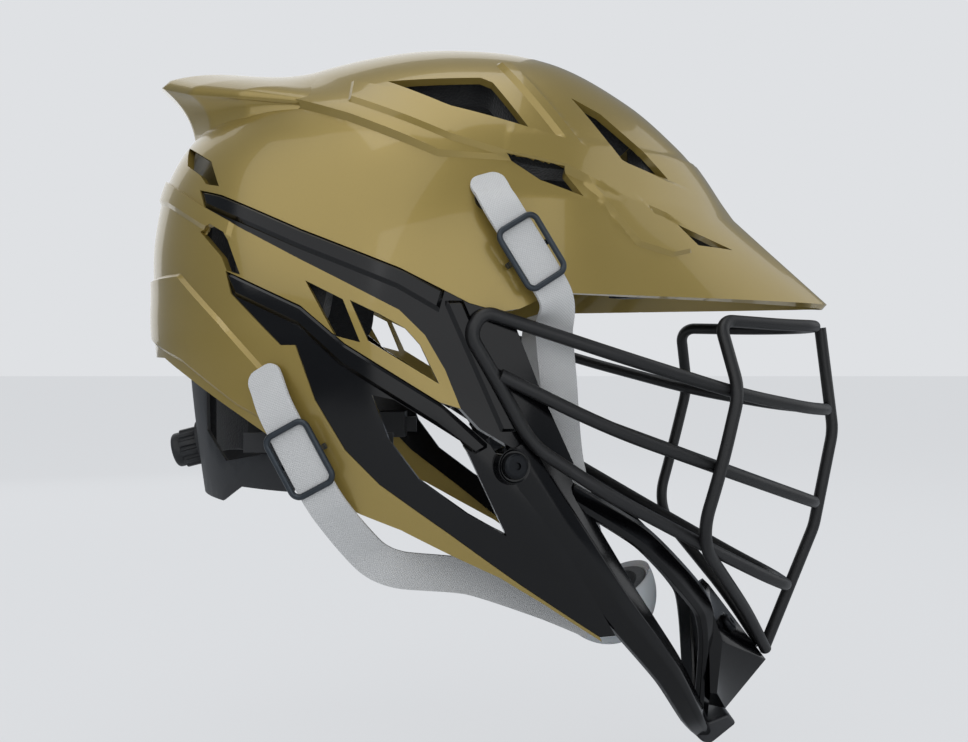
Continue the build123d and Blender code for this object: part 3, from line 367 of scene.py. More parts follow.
def visor_curves():
    """Dense plan curves of the visor at its three levels, from its back to its tip."""
    curves = []
    for level, (z_share, points) in enumerate(VISOR_LEVELS):
        z = z_share * HEIGHT
        plan = [(x * LENGTH, y * HALF_WIDTH) for x, y in points]
        plan[0] = (plan[0][0], half_width(plan[0][0], z) - SHELL_WALL / 3)
        if level == 2:
            plan[1:-1] = [(x, half_width(x, z) - SHELL_WALL / 2) for x, _ in plan[1:-1]]
        mirrored = plan + [(x, -y) for x, y in plan[-2:-3:-1]]
        dense = []
        for i in range(len(plan) - 1):
            before = mirrored[i - 1] if i else (2 * plan[0][0] - plan[1][0], 2 * plan[0][1] - plan[1][1])
            a, b, after = mirrored[i], mirrored[i + 1], mirrored[i + 2]
            for step in range(12):
                t = step / 12
                dense.append(tuple(
                    0.5 * (2 * a[k] + (b[k] - before[k]) * t
                           + (2 * before[k] - 5 * a[k] + 4 * b[k] - after[k]) * t * t
                           + (3 * a[k] - before[k] - 3 * b[k] + after[k]) * t**3) for k in (0, 1)))
        curves.append((z, dense + [plan[-1]]))
    return curves


VISOR_CURVES = visor_curves()


def visor_half(x, z):
    """Half width of the visor at a side-view point, carried on below its edge; negative past its tip."""
    (z0, low), (z1, middle), (z2, high) = VISOR_CURVES
    if z > z2:
        return -1.0
    below, above, f = (low, middle, (z - z0) / (z1 - z0)) if z < z1 else (middle, high, (z - z1) / (z2 - z1))
    f = max(f, -0.6)
    xs = [below[0][0] + (above[0][0] - below[0][0]) * f, below[-1][0] + (above[-1][0] - below[-1][0]) * f]
    if x >= xs[1]:
        return xs[1] - x
    first, last = 0, len(below) - 1
    while last - first > 1:
        half = (first + last) // 2
        if below[half][0] + (above[half][0] - below[half][0]) * f > x:
            last = half
        else:
            first = half
    (xa, ya), (xb, yb) = [[below[i][k] + (above[i][k] - below[i][k]) * f for k in (0, 1)]
                          for i in (first, last)]
    return ya + (yb - ya) * min(max((x - xa) / (xb - xa), 0), 1)


def with_visor(point):
    """Moves a point of the egg out to the visor, with a soft hollow where the two meet."""
    if point.x < VISOR_BACK or not VISOR_FOOT <= point.z <= VISOR_TOP:
        return point
    center = Vector((POLE[0], 0, POLE[1]))
    way = point - center
    low, high = 0.8, 1.9
    for _ in range(16):
        middle = (low + high) / 2
        p = center + way * middle
        if p.y < visor_half(p.x, p.z):
            low = middle
        else:
            high = middle
    reach = low if low > 0.81 else 0.8
    near = max(VISOR_BLEND - abs(reach - 1), 0) / VISOR_BLEND
    return center + way * (max(reach, 1) + near * near * VISOR_BLEND * 0.25)


def banded(bands):
    """Height over side-view points for raised bands: outline, rise, rim, and where the band fades out."""
    reaches = []
    for outline, *_ in bands:
        xs, zs = [x for x, _ in outline], [z for _, z in outline]
        reaches.append((min(xs) - STEP_WIDTH, max(xs) + STEP_WIDTH,
                        min(zs) - STEP_WIDTH, max(zs) + STEP_WIDTH))

    def height(x, z):
        highest = 0.0
        for (outline, rise, rim, fade), (left, right, low, high) in zip(bands, reaches):
            if left < x < right and low < z < high:
                away = distance_outside(x, z, outline)
                edge = rim * ease(1 + away / RIM_WIDTH) * (1 - ease((x - fade + RIM_LEAD) / FADE_WIDTH))
                top = (rise + edge) * min(max(1 - away / STEP_WIDTH, 0), 1)
                highest = max(highest, top * (1 - ease((x - fade) / FADE_WIDTH)))
        return highest
    return height


def mark(bm, outline, spacing=0.003):
    """Scores a band's outline and the foot of its step."""
    score(bm, outline, spacing)
    score(bm, grown(outline, STEP_WIDTH), spacing)


def raise_bands(bm, height):
    """Moves each point straight out of the egg by the height at its side-view place."""
    for v in bm.verts:
        rise = height(v.co.x, v.co.z)
        if rise:
            out = Vector(((v.co.x - POLE[0]) / EGG_REACH[0]**2, v.co.y / HALF_WIDTH**2,
                          (v.co.z - POLE[1]) / EGG_REACH[1]**2))
            v.co += out.normalized() * rise


def both_sides(bm):
    """Joins a left half to its mirror image, with every face turned outward."""
    for v in bm.verts:
        if abs(v.co.y) < 0.0003:
            v.co.y = 0
    bmesh.ops.mirror(bm, geom=bm.verts[:] + bm.edges[:] + bm.faces[:], merge_dist=0.0001, axis="Y")


def face_outward(bm):
    """Turns the sheet's faces away from the middle of the head."""
    bmesh.ops.recalc_face_normals(bm, faces=bm.faces)
    lean = sum(f.normal.dot(f.calc_center_median()) for f in bm.faces)
    if lean < 0:
        bmesh.ops.reverse_faces(bm, faces=bm.faces)


def thicken(piece, thickness, edge):
    """Gives a sheet its wall and rounds its cut edges."""
    wall = piece.modifiers.new("wall", "SOLIDIFY")
    wall.thickness, wall.offset, wall.use_quality_normals = thickness, -1, True
    round_edges(piece, edge, 75)


def round_edges(piece, edge, degrees=40):
    """Rounds the sharp edges."""
    rounded = piece.modifiers.new("edges", "BEVEL")
    rounded.width, rounded.segments, rounded.limit_method = edge, 2, "ANGLE"
    rounded.angle_limit = math.radians(degrees)
    rounded.harden_normals = True


bm = egg_sheet(320, 84, start=math.radians(-8), end=math.radians(170), stretch=with_visor)
ABOVE = [(0.800, 0.037), (0.800, 0.500), (-0.600, 0.500), (-0.600, 0.221)]
trim(bm, side(SEAM + CROWN_EDGE + BROW_EDGE + ABOVE), spacing=0.010)
for vent in CROWN_VENTS:
    trim(bm, side(vent), inside=False, spacing=0.006)
for band in [CAP, BEAM] + RIBS:
    mark(bm, side(band), 0.010)
bmesh.ops.remove_doubles(bm, verts=bm.verts, dist=0.0001)
bars = [(side(BEAM), BAR_RISE, 0.0, BEAM_END)] + [(side(rib), BAR_RISE, 0.0, NO_END) for rib in RIBS]
cap, bars = banded([(side(CAP), CAP_RISE, CAP_RIM, CAP_END)]), banded(bars)
raise_bands(bm, lambda x, z: cap(x, z) + bars(x, z))
both_sides(bm)
face_outward(bm)
crown = put(bm, "crown", gold, "helmet", crease=20)
thicken(crown, SHELL_WALL, EDGE_ROUND)
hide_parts("crown_shell")


# Rear fin: the back of the raised cap runs on past the crown as a thin swept edge.
# It is one moulding with the crown and painted like it, above and below.
FIN_TIPS = [(-0.66, -0.204, 0.287), (-0.56, -0.316, 0.303), (-0.42, -0.412, 0.319), (-0.24, -0.478, 0.341),
            (0.0, -0.504, 0.354)]
FIN_TOP_ANGLES = [108, 110, 111, 112, 112]
FIN_LOW_ANGLES = [113, 122, 129, 133, 134]
FIN_TOP_SHARE = 0.55
FIN_PROUD, FIN_SUNK = 0.0013, 0.0010
FIN_EDGE_UP, FIN_EDGE_DOWN = 0.0012, 0.0010
FIN_HOLLOW = Vector((0.006, 0, 0.002))


def between(values, place):
    """Value at a place along evenly spaced numbers."""
    index = min(int(place), len(values) - 2)
    return values[index] + (values[index + 1] - values[index]) * (place - index)


def root_point(angle, y, rise):
    """Side-view point where the egg is this wide, in this direction from the pole."""
    low, high = 0.0, profile_radius(angle) + rise
    for _ in range(24):
        radius = (low + high) / 2
        x, z = POLE[0] + radius * math.cos(angle), POLE[1] + radius * math.sin(angle)
        if half_width(x, z, rise) > y:
            low = radius
        else:
            high = radius
    return Vector((x, y, z))


bm = bmesh.new()
bmesh.ops.create_grid(bm, x_segments=96, y_segments=40, size=1)
stations = {}
for v in bm.verts:
    place = round((1 - abs(v.co.x)) * 4, 4)
    if place not in stations:
        y = -between([tip[0] for tip in FIN_TIPS], place) * HALF_WIDTH
        tip = Vector((between([t[1] for t in FIN_TIPS], place) * LENGTH, y,
                      between([t[2] for t in FIN_TIPS], place) * HEIGHT))
        top = root_point(math.radians(between(FIN_TOP_ANGLES, place) - 6), y, FIN_PROUD)
        ahead = root_point(math.radians(between(FIN_TOP_ANGLES, place) - 3), y, FIN_PROUD)
        low = root_point(math.radians(between(FIN_LOW_ANGLES, place) + 2), y, -FIN_SUNK)
        stations[place] = (y, tip, top, ahead, low)
    y, tip, top, ahead, low = stations[place]
    t = (v.co.y + 1) / 2
    if t < FIN_TOP_SHARE:
        s = t / FIN_TOP_SHARE
        reach = (tip - top).length
        edge = tip + Vector((0, 0, FIN_EDGE_UP))
        leave = top + (ahead - top).normalized() * reach * 0.35
        arrive = edge + Vector((reach * 0.40, 0, reach * 0.13))
        co = top * (1 - s)**3 + leave * 3 * s * (1 - s)**2 + arrive * 3 * s * s * (1 - s) + edge * s**3
    else:
        s = (t - FIN_TOP_SHARE) / (1 - FIN_TOP_SHARE)
        middle = (tip + low) / 2 + FIN_HOLLOW
        co = (tip - Vector((0, 0, FIN_EDGE_DOWN))) * (1 - s)**2 + middle * 2 * s * (1 - s) + low * s * s
    co.y = y if v.co.x < 0 else -y
    v.co = co
bmesh.ops.remove_doubles(bm, verts=bm.verts, dist=0.00005)
bmesh.ops.recalc_face_normals(bm, faces=bm.faces)
top_face = max(bm.faces, key=lambda f: f.calc_center_median().z)
if top_face.normal.z < 0:
    bmesh.ops.reverse_faces(bm, faces=bm.faces)
fin = put(bm, "crown_fin", gold, "helmet")
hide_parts("crown_shell")


# Rear shell: the lower half of the painted shell, behind the head and along both sides of the ear opening.
# It is moulded and painted like the crown and bolted to the black frames from inside.
STRIP_TOP = [
    (-0.284, 0.117), (-0.183, 0.075), (-0.120, 0.050), (-0.028, 0.013), (0.011, -0.017), (0.042, -0.059),
    (0.066, -0.106),
]
BAND_TOP = [(0.034, -0.098), (-0.112, -0.027), (-0.182, 0.019), (-0.282, 0.055), (-0.308, 0.064)]
LOWER_FRONT = [
    (-0.298, 0.035), (-0.214, -0.029), (-0.190, -0.029), (-0.159, -0.095), (-0.112, -0.156),
    (-0.059, -0.198), (0.049, -0.260), (0.159, -0.326), (0.293, -0.403),
]
LOWER_BACK = [
    (0.296, -0.409), (0.200, -0.354), (0.127, -0.316), (0.049, -0.285), (-0.028, -0.253), (-0.089, -0.234),
    (-0.136, -0.217), (-0.207, -0.152), (-0.283, -0.115), (-0.390, -0.065), (-0.440, -0.043),
    (-0.488, -0.041),
]
REAR_GAPS = [
    [(-0.358, 0.116), (-0.336, 0.123), (-0.310, 0.111), (-0.282, 0.058), (-0.306, 0.064), (-0.316, 0.082)],
    [(-0.174, 0.049), (-0.115, 0.026), (-0.088, -0.026), (-0.127, -0.018)],
    [(-0.104, 0.025), (-0.058, 0.008), (-0.019, -0.009), (0.004, -0.029), (0.033, -0.076), (-0.076, -0.024)],
]
LEDGE = [
    (-0.500, 0.060), (-0.400, 0.060), (-0.320, 0.000), (-0.243, -0.062), (-0.213, -0.085), (-0.200, -0.132),
    (-0.283, -0.100), (-0.390, -0.045), (-0.500, -0.010),
]
LEDGE_RISE, LIP_RISE = 0.0016, 0.0014
REAR_LIP = [
    (-0.560, 0.250), (-0.432, 0.195), (-0.352, 0.153), (-0.300, 0.128), (-0.306, 0.108), (-0.352, 0.124),
    (-0.432, 0.162), (-0.560, 0.200),
]
bm = egg_sheet(640, 90)
BEHIND = [(-0.600, -0.041), (-0.600, 0.221)]
trim(bm, side(SEAM + STRIP_TOP + BAND_TOP + LOWER_FRONT + LOWER_BACK + BEHIND))
for gap in REAR_GAPS:
    trim(bm, side(gap), inside=False)
mark(bm, side(LEDGE))
mark(bm, side(REAR_LIP))
bmesh.ops.remove_doubles(bm, verts=bm.verts, dist=0.0001)
raise_bands(bm, banded([(side(LEDGE), LEDGE_RISE, 0.0, NO_END), (side(REAR_LIP), LIP_RISE, 0.0, NO_END)]))
both_sides(bm)
face_outward(bm)
rear = put(bm, "rear", gold, "helmet", crease=20)
thicken(rear, SHELL_WALL, EDGE_ROUND)
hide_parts("rear_shell")


# Black frames: two glass-filled nylon mouldings a side, set a little below the paint, with a raised lip.
# The upper one fills the band between the shells and carries the cage; the lower one rings the side window.
# Glossy nylon shows a sharp highlight, softened here and there by handling, over a grain about 1 mm across.
gloss, tree = new_material("glossy moulded black nylon")
place = node(tree, "ShaderNodeTexCoord").outputs["Object"]
grain = node(tree, "ShaderNodeTexNoise", inputs={"Vector": place, "Scale": 900.0, "Detail": 3.0})
wear = node(tree, "ShaderNodeTexNoise", inputs={"Vector": place, "Scale": 45.0, "Detail": 4.0})
rough = node(tree, "ShaderNodeMapRange", inputs={
    "Value": wear.outputs["Fac"], "To Min": 0.11, "To Max": 0.19})
shade = node(tree, "ShaderNodeMix", {"data_type": "RGBA"}, {
    "Factor": wear.outputs["Fac"], "A": linear("#040405"), "B": linear("#08080a")})
bump = node(tree, "ShaderNodeBump", inputs={
    "Height": grain.outputs["Fac"], "Strength": 0.05, "Distance": 0.0002})
finish_material(tree, {
    "Base Color": shade.outputs["Result"], "Roughness": rough.outputs["Result"], "Specular IOR Level": 0.35,
    "Normal": bump.outputs["Normal"]})

FRAME_SINK, FRAME_CELL, FRAME_WALL, FRAME_RISE = -0.0008, 0.0015, 0.0040, 0.0016
TEMPLE_FRONT = [(0.152, -0.006), (0.192, -0.084), (0.248, -0.178), (0.176, -0.169), (0.096, -0.131)]
UPPER_LIP = [
    (-0.352, 0.164), (-0.322, 0.157), (-0.184, 0.108), (-0.027, 0.059), (0.034, 0.035), (0.028, 0.018),
    (-0.030, 0.044), (-0.184, 0.093), (-0.322, 0.142), (-0.346, 0.151),
]
TEMPLE_RIDGE = [(0.048, 0.020), (0.066, 0.020), (0.150, -0.130), (0.132, -0.130)]
ARM_BACK = [(0.112, -0.151), (0.159, -0.208), (0.225, -0.274), (0.320, -0.403)]
LOWER_LIP = [
    (-0.300, 0.057), (-0.282, 0.050), (-0.182, 0.014), (-0.112, -0.032), (0.034, -0.103), (0.100, -0.151),
    (0.088, -0.156), (0.028, -0.120), (-0.116, -0.049), (-0.184, -0.001), (-0.286, 0.036),
]
WINDOW = [
    (-0.071, -0.089), (-0.036, -0.095), (0.064, -0.144), (0.076, -0.158), (0.138, -0.264), (0.080, -0.237),
    (0.003, -0.193), (-0.044, -0.144),
]


def side_sheet(outline, rise, cell):
    """Flat grid over a side-view outline, laid on the left of the egg and trimmed to the outline."""
    xs, zs = [x for x, _ in outline], [z for _, z in outline]
    columns = int((max(xs) - min(xs)) / cell) + 2
    rows = int((max(zs) - min(zs)) / cell) + 2
    bm = bmesh.new()
    bmesh.ops.create_grid(bm, x_segments=columns, y_segments=rows, size=1)
    for v in bm.verts:
        x = min(xs) + (max(xs) - min(xs)) * (v.co.x + 1) / 2
        z = min(zs) + (max(zs) - min(zs)) * (v.co.y + 1) / 2
        v.co = (x, half_width(x, z, rise), z)
    trim(bm, outline)
    bmesh.ops.remove_doubles(bm, verts=bm.verts, dist=0.0002)
    return bm


def on_both_sides(left, name, node_name):
    """Left frame and its mirror image, from a sheet."""
    for hand, sign in HANDS:
        bm = left.copy()
        for v in bm.verts:
            v.co.y *= sign
        face_outward(bm)
        piece = put(bm, f"{name}_{hand}", gloss, "helmet", crease=20)
        thicken(piece, FRAME_WALL, EDGE_ROUND)
        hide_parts(f"{node_name}_{hand}")


def upper_frame():
    """Upper band with its lip, temple plate and ridge."""
    bm = side_sheet(side([SEAM[-1]] + CROWN_EDGE + TEMPLE_FRONT + STRIP_TOP[::-1]), FRAME_SINK, FRAME_CELL)
    bands = [(side(outline), FRAME_RISE, 0.0, NO_END) for outline in (UPPER_LIP, TEMPLE_RIDGE)]
    for outline, *_ in bands:
        mark(bm, outline)
    raise_bands(bm, banded(bands))
    return bm


def lower_frame():
    """Lower loop with its lip, open at the window."""
    bm = side_sheet(side(BAND_TOP[::-1] + ARM_BACK + LOWER_FRONT[::-1]), FRAME_SINK, FRAME_CELL)
    trim(bm, side(WINDOW), inside=False)
    mark(bm, side(LOWER_LIP))
    raise_bands(bm, banded([(side(LOWER_LIP), FRAME_RISE, 0.0, NO_END)]))
    return bm


on_both_sides(upper_frame(), "upper_band", "upper_frame")
on_both_sides(lower_frame(), "lower_band", "lower_frame")


# Chin guard and chin plate: glossy black nylon mouldings; the guard's arms are bolted at the temples and
# meet at the chin, and the plate is a hollow wedge over the foot of the cage.
# The chin's tip is the same nylon with a satin finish; its charcoal colour is painted light, lighter than
# the guard's black to stand for the broad dull light below the glossy plate.
def dress(name, material, edge=0.0, degrees=30):
    """Gives a CAD piece its finish and soft edges."""
    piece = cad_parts[name]
    piece.data.materials.clear()
    piece.data.materials.append(material)
    weld = piece.modifiers.new("weld", "WELD")
    weld.merge_threshold = 0.00002
    if edge:
        round_edges(piece, edge, degrees)


satin, tree = new_material("satin black nylon painted lighter as lit")
place = node(tree, "ShaderNodeTexCoord").outputs["Object"]
grain = node(tree, "ShaderNodeTexNoise", inputs={"Vector": place, "Scale": 1400.0, "Detail": 3.0})
# Painted light: both charcoal tones are lighter than the guard's black, so that the tip looks lit.
shade = node(tree, "ShaderNodeMix", {"data_type": "RGBA"}, {
    "Factor": grain.outputs["Fac"], "A": linear("#26272a"), "B": linear("#303134")})
bump = node(tree, "ShaderNodeBump", inputs={
    "Height": grain.outputs["Fac"], "Strength": 0.12, "Distance": 0.0003})
finish_material(tree, {
    "Base Color": shade.outputs["Result"], "Roughness": 0.42, "IOR": 1.53, "Normal": bump.outputs["Normal"]})

ARM_STATIONS = [
    (0.154, 0.846, -0.150), (0.198, 0.798, -0.203), (0.255, 0.733, -0.272), (0.331, 0.620, -0.362),
    (0.424, 0.457, -0.462), (0.478, 0.300, -0.538), (0.508, 0.115, -0.577),
]
ARM_WIDTHS = [0.0300, 0.0270, 0.0250, 0.0205, 0.0155, 0.0120, 0.0090]
ARM_SECTION = [(-1, -0.0008), (-0.30, 0.0032), (-0.10, 0.0035), (0.22, 0.0035), (1, -0.0008),
               (0.95, -0.0050), (-0.95, -0.0050)]
RAIL_STATIONS = [
    (0.240, 0.720, -0.215), (0.365, 0.560, -0.278), (0.443, 0.410, -0.340), (0.494, 0.270, -0.390),
    (0.503, 0.245, -0.440), (0.502, 0.105, -0.560),
]
RAIL_WIDTHS = [0.0090, 0.0100, 0.0110, 0.0110, 0.0090, 0.0080]
RAIL_FACING = Vector((1, 1, 0)).normalized()
RAIL_SECTION = [(-1, 0.0010), (-0.6, 0.0025), (0.6, 0.0025), (1, 0.0010), (1, -0.0015), (0.7, -0.0025),
                (-0.7, -0.0025), (-1, -0.0015)]
SIDE_BOLT = side([(0.145, -0.177)])[0]
BOSS_FOOT, BOSS_HEAD, BOSS_DEPTH = 0.0078, 0.0070, 0.008
BOSS_RISE, BOSS_RIM, BOSS_SINK = 0.0033, 0.0010, 0.0004
CHIN = [(0.460, -0.560), (0.494, -0.570), (0.551, -0.552), (0.566, -0.566), (0.520, -0.595), (0.505, -0.594)]
CHIN_HALF = 0.015


def outward(x, z):
    """Direction away from the egg's left side at a side-view point."""
    step = 0.001
    slope_x = (half_width(x + step, z) - half_width(x - step, z)) / (2 * step)
    slope_z = (half_width(x, z + step) - half_width(x, z - step)) / (2 * step)
    return Vector((-slope_x, 1, -slope_z)).normalized()


def located(shares):
    """Points from shares of the length, half width and height."""
    return [Vector((x * LENGTH, y * HALF_WIDTH, z * HEIGHT)) for x, y, z in shares]


def smooth_line(points, steps=12):
    """Points on a smooth curve through the given points."""
    dense = []
    for i in range(len(points) - 1):
        before, a, b = points[max(i - 1, 0)], points[i], points[i + 1]
        after = points[min(i + 2, len(points) - 1)]
        for step in range(steps):
            t = step / steps
            m, n = (b - before) * 0.35, (after - a) * 0.35
            dense.append(a * (2 * t**3 - 3 * t**2 + 1) + m * (t**3 - 2 * t**2 + t)
                         + b * (3 * t**2 - 2 * t**3) + n * (t**3 - t**2))
    return dense + [points[-1]]


def moulded_bar(points, outs, widths, section):
    """Bar with a faceted section carried along a smooth line, closed at both ends."""
    line, outs = smooth_line(points, 8), smooth_line(outs, 8)
    halves = [w.x / 2 for w in smooth_line([Vector((w, 0, 0)) for w in widths], 8)]
    bm = bmesh.new()
    bmesh.ops.create_grid(bm, x_segments=len(line) - 1, y_segments=len(section), size=1)
    for v in bm.verts:
        index = round((v.co.x + 1) / 2 * (len(line) - 1))
        u, n = section[round((v.co.y + 1) / 2 * len(section)) % len(section)]
        ahead = line[min(index + 1, len(line) - 1)] - line[max(index - 1, 0)]
        across = ahead.cross(outs[index]).normalized()
        v.co = line[index] + across * (u * halves[index]) + across.cross(ahead).normalized() * n
    bmesh.ops.remove_doubles(bm, verts=bm.verts, dist=0.00001)
    bmesh.ops.holes_fill(bm, edges=bm.edges, sides=len(section))
    bmesh.ops.recalc_face_normals(bm, faces=bm.faces)
    return bm


def twins(left, name, edge):
    """Left piece of the guard and its mirror image."""
    for hand, sign in HANDS:
        bm = left.copy()
        for v in bm.verts:
            v.co.y *= sign
        bmesh.ops.recalc_face_normals(bm, faces=bm.faces)
        piece = put(bm, f"{name}_{hand}", gloss, "helmet", crease=20)
        round_edges(piece, edge, 22)
        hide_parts("chin_guard")


outs = [outward(x * LENGTH, z * HEIGHT) for x, _, z in ARM_STATIONS[:-1]]
arm = moulded_bar(located(ARM_STATIONS), outs + outs[-1:], ARM_WIDTHS, ARM_SECTION)
twins(arm, "jaw_arm", 0.0007)
outs = [RAIL_FACING] * len(RAIL_STATIONS)
rail = moulded_bar(located(RAIL_STATIONS), outs, RAIL_WIDTHS, RAIL_SECTION)
twins(rail, "jaw_rail", 0.0004)

out = outward(*SIDE_BOLT)
seat = Vector((SIDE_BOLT[0], half_width(*SIDE_BOLT), SIDE_BOLT[1]))
boss = bmesh.new()
bmesh.ops.create_cone(boss, cap_ends=True, segments=48, radius1=BOSS_FOOT, radius2=BOSS_HEAD,
                      depth=BOSS_DEPTH)
top = [f for f in boss.faces if f.normal.z > 0.9]
bmesh.ops.inset_region(boss, faces=top, thickness=BOSS_RIM)
bmesh.ops.translate(boss, verts=list({v for f in top for v in f.verts}), vec=(0, 0, -BOSS_SINK))
bmesh.ops.rotate(boss, verts=boss.verts, cent=(0, 0, 0), matrix=out.to_track_quat("Z", "X").to_matrix())
bmesh.ops.translate(boss, verts=boss.verts, vec=seat + out * (BOSS_RISE - BOSS_DEPTH / 2))
twins(boss, "jaw_boss", 0.0003)

bm = bmesh.new()
end = bm.faces.new([bm.verts.new((x, -CHIN_HALF, z)) for x, z in side(CHIN)])
swept = bmesh.ops.extrude_face_region(bm, geom=[end])["geom"]
corners = [part for part in swept if isinstance(part, bmesh.types.BMVert)]
bmesh.ops.translate(bm, verts=corners, vec=(0, 2 * CHIN_HALF, 0))
bmesh.ops.recalc_face_normals(bm, faces=bm.faces)
chin = put(bm, "chin_tip", satin, "helmet", crease=20)
round_edges(chin, 0.0014, 20)
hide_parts("chin_guard")
dress("chin_plate", gloss, 0.0009, 25)


# Face cage: 5.4 mm carbon steel wire, bent, welded where the bars cross, and powder-coated matt black.
# The crossing bars rest behind the centre bar; the side bars lie outside them, the loops on the temples.
# Orange-peel bumps about 1 mm apart break up the soft highlight along each bar.
coat, tree = new_material("matt black powder coat on steel wire")
place = node(tree, "ShaderNodeTexCoord").outputs["Object"]
orange = node(tree, "ShaderNodeTexNoise", inputs={"Vector": place, "Scale": 1100.0, "Detail": 2.0})
scuff = node(tree, "ShaderNodeTexNoise", inputs={"Vector": place, "Scale": 60.0, "Detail": 5.0})
rough = node(tree, "ShaderNodeMapRange", inputs={
    "Value": scuff.outputs["Fac"], "To Min": 0.36, "To Max": 0.56})
shade = node(tree, "ShaderNodeMix", {"data_type": "RGBA"}, {
    "Factor": scuff.outputs["Fac"], "A": linear("#0c0c0d"), "B": linear("#171718")})
bump = node(tree, "ShaderNodeBump", inputs={
    "Height": orange.outputs["Fac"], "Strength": 0.25, "Distance": 0.0004})
finish_material(tree, {
    "Base Color": shade.outputs["Result"], "Roughness": rough.outputs["Result"],
    "Normal": bump.outputs["Normal"]})
for name in ("cage_top_bar", "cage_upper_bar", "cage_middle_bar", "cage_lower_bar", "cage_center_bar",
             "cage_side_loop_left", "cage_side_loop_right", "cage_side_bar_left", "cage_side_bar_right"):
    dress(name, coat)


# Fasteners: black-oxide steel bolts with a round recessed head, and square nuts in pockets behind them.
# Each fixes a jaw arm to the temple, or the chin plate to the guard. The dark skin still shines like steel.
oxide, tree = new_material("black oxide on steel")
place = node(tree, "ShaderNodeTexCoord").outputs["Object"]
haze = node(tree, "ShaderNodeTexNoise", inputs={"Vector": place, "Scale": 500.0, "Detail": 4.0})
rough = node(tree, "ShaderNodeMapRange", inputs={
    "Value": haze.outputs["Fac"], "To Min": 0.28, "To Max": 0.44})
shade = node(tree, "ShaderNodeMix", {"data_type": "RGBA"}, {
    "Factor": haze.outputs["Fac"], "A": linear("#1a1b1d"), "B": linear("#26282b")})
finish_material(tree, {
    "Base Color": shade.outputs["Result"], "Metallic": 0.85, "Roughness": rough.outputs["Result"]})
for name in ("side_bolts", "side_nuts", "chin_bolts"):
    dress(name, oxide, 0.0002)


# Liner: moulded EVA foam pads glued inside the shells, skinned in a brushed black knit.
# They cover the crown, the sides above the ears, the back and the brow. The nap, drawn 1 mm across, takes
# away every highlight.
foam, tree = new_material("brushed black knit over foam")
place = node(tree, "ShaderNodeTexCoord").outputs["Object"]
cells = node(tree, "ShaderNodeTexVoronoi", inputs={"Vector": place, "Scale": 900.0})
pile = node(tree, "ShaderNodeTexNoise", inputs={"Vector": place, "Scale": 160.0, "Detail": 5.0})
shade = node(tree, "ShaderNodeMix", {"data_type": "RGBA"}, {
    "Factor": pile.outputs["Fac"], "A": linear("#101113"), "B": linear("#1d1e21")})
bump = node(tree, "ShaderNodeBump", inputs={"Height": cells.outputs["Distance"], "Strength": 0.5,
                                            "Distance": 0.0005})
finish_material(tree, {
    "Base Color": shade.outputs["Result"], "Roughness": 0.92, "Sheen Weight": 0.25, "Sheen Roughness": 0.6,
    "Normal": bump.outputs["Normal"]})


def pad(bm, name, node_name, body, thickness, round_by=0.0035):
    """Soft pad grown inward from a sheet, with round crowned edges."""
    face_outward(bm)
    piece = put(bm, name, foam, body)
    wall = piece.modifiers.new("foam", "SOLIDIFY")
    wall.thickness, wall.offset = thickness, -1
    rounded = piece.modifiers.new("round", "BEVEL")
    rounded.width, rounded.segments, rounded.limit_method = round_by, 4, "ANGLE"
    rounded.angle_limit = math.radians(50)
    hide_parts(node_name)


def pad_across(rounds, leans, rise, start, end, outline, holes=()):
    """Sheet for a pad that crosses the middle plane."""
    bm = egg_sheet(rounds, leans, rise, math.radians(start), math.radians(end))
    trim(bm, side(outline))
    for hole in holes:
        trim(bm, side(hole), inside=False)
    bmesh.ops.remove_doubles(bm, verts=bm.verts, dist=0.0008)
    both_sides(bm)
    return bm


CROWN_PAD = [(-0.300, 0.200), (0.360, 0.200), (0.360, 0.450), (-0.300, 0.450)]
BROW_PAD = [(0.380, 0.055), (0.700, 0.055), (0.700, 0.265), (0.380, 0.265)]
NAPE_PAD = [(-0.600, 0.190), (-0.382, 0.190), (-0.382, -0.015), (-0.600, -0.015)]
SIDE_PAD = [
    (-0.296, 0.180), (0.155, 0.180), (0.136, 0.064), (0.018, 0.054), (-0.140, 0.050), (-0.150, 0.010),
    (-0.180, -0.030), (-0.296, 0.033),
]
PAD_GAP, SIDE_PAD_GAP = 0.0050, 0.0056
CROWN_PAD_DEPTH, BROW_PAD_DEPTH, NAPE_PAD_DEPTH, SIDE_PAD_DEPTH = 0.0095, 0.0090, 0.0095, 0.0100
crown_sheet = pad_across(64, 40, -PAD_GAP, 36, 146, CROWN_PAD, CROWN_VENTS[:3])
pad(crown_sheet, "crown_pad", "crown_liner", "helmet", CROWN_PAD_DEPTH)
brow_sheet = pad_across(24, 40, -PAD_GAP, 8, 48, BROW_PAD)
pad(brow_sheet, "brow_cushion", "brow_pad", "helmet", BROW_PAD_DEPTH)
nape_sheet = pad_across(30, 40, -PAD_GAP, 145, 190, NAPE_PAD)
pad(nape_sheet, "nape_pad", "rear_liner", "helmet", NAPE_PAD_DEPTH)
for hand, sign in HANDS:
    bm = side_sheet(side(SIDE_PAD), -SIDE_PAD_GAP, 0.005)
    for v in bm.verts:
        v.co.y *= sign
    pad(bm, f"ear_pad_{hand}", f"side_liner_{hand}", "helmet", SIDE_PAD_DEPTH)


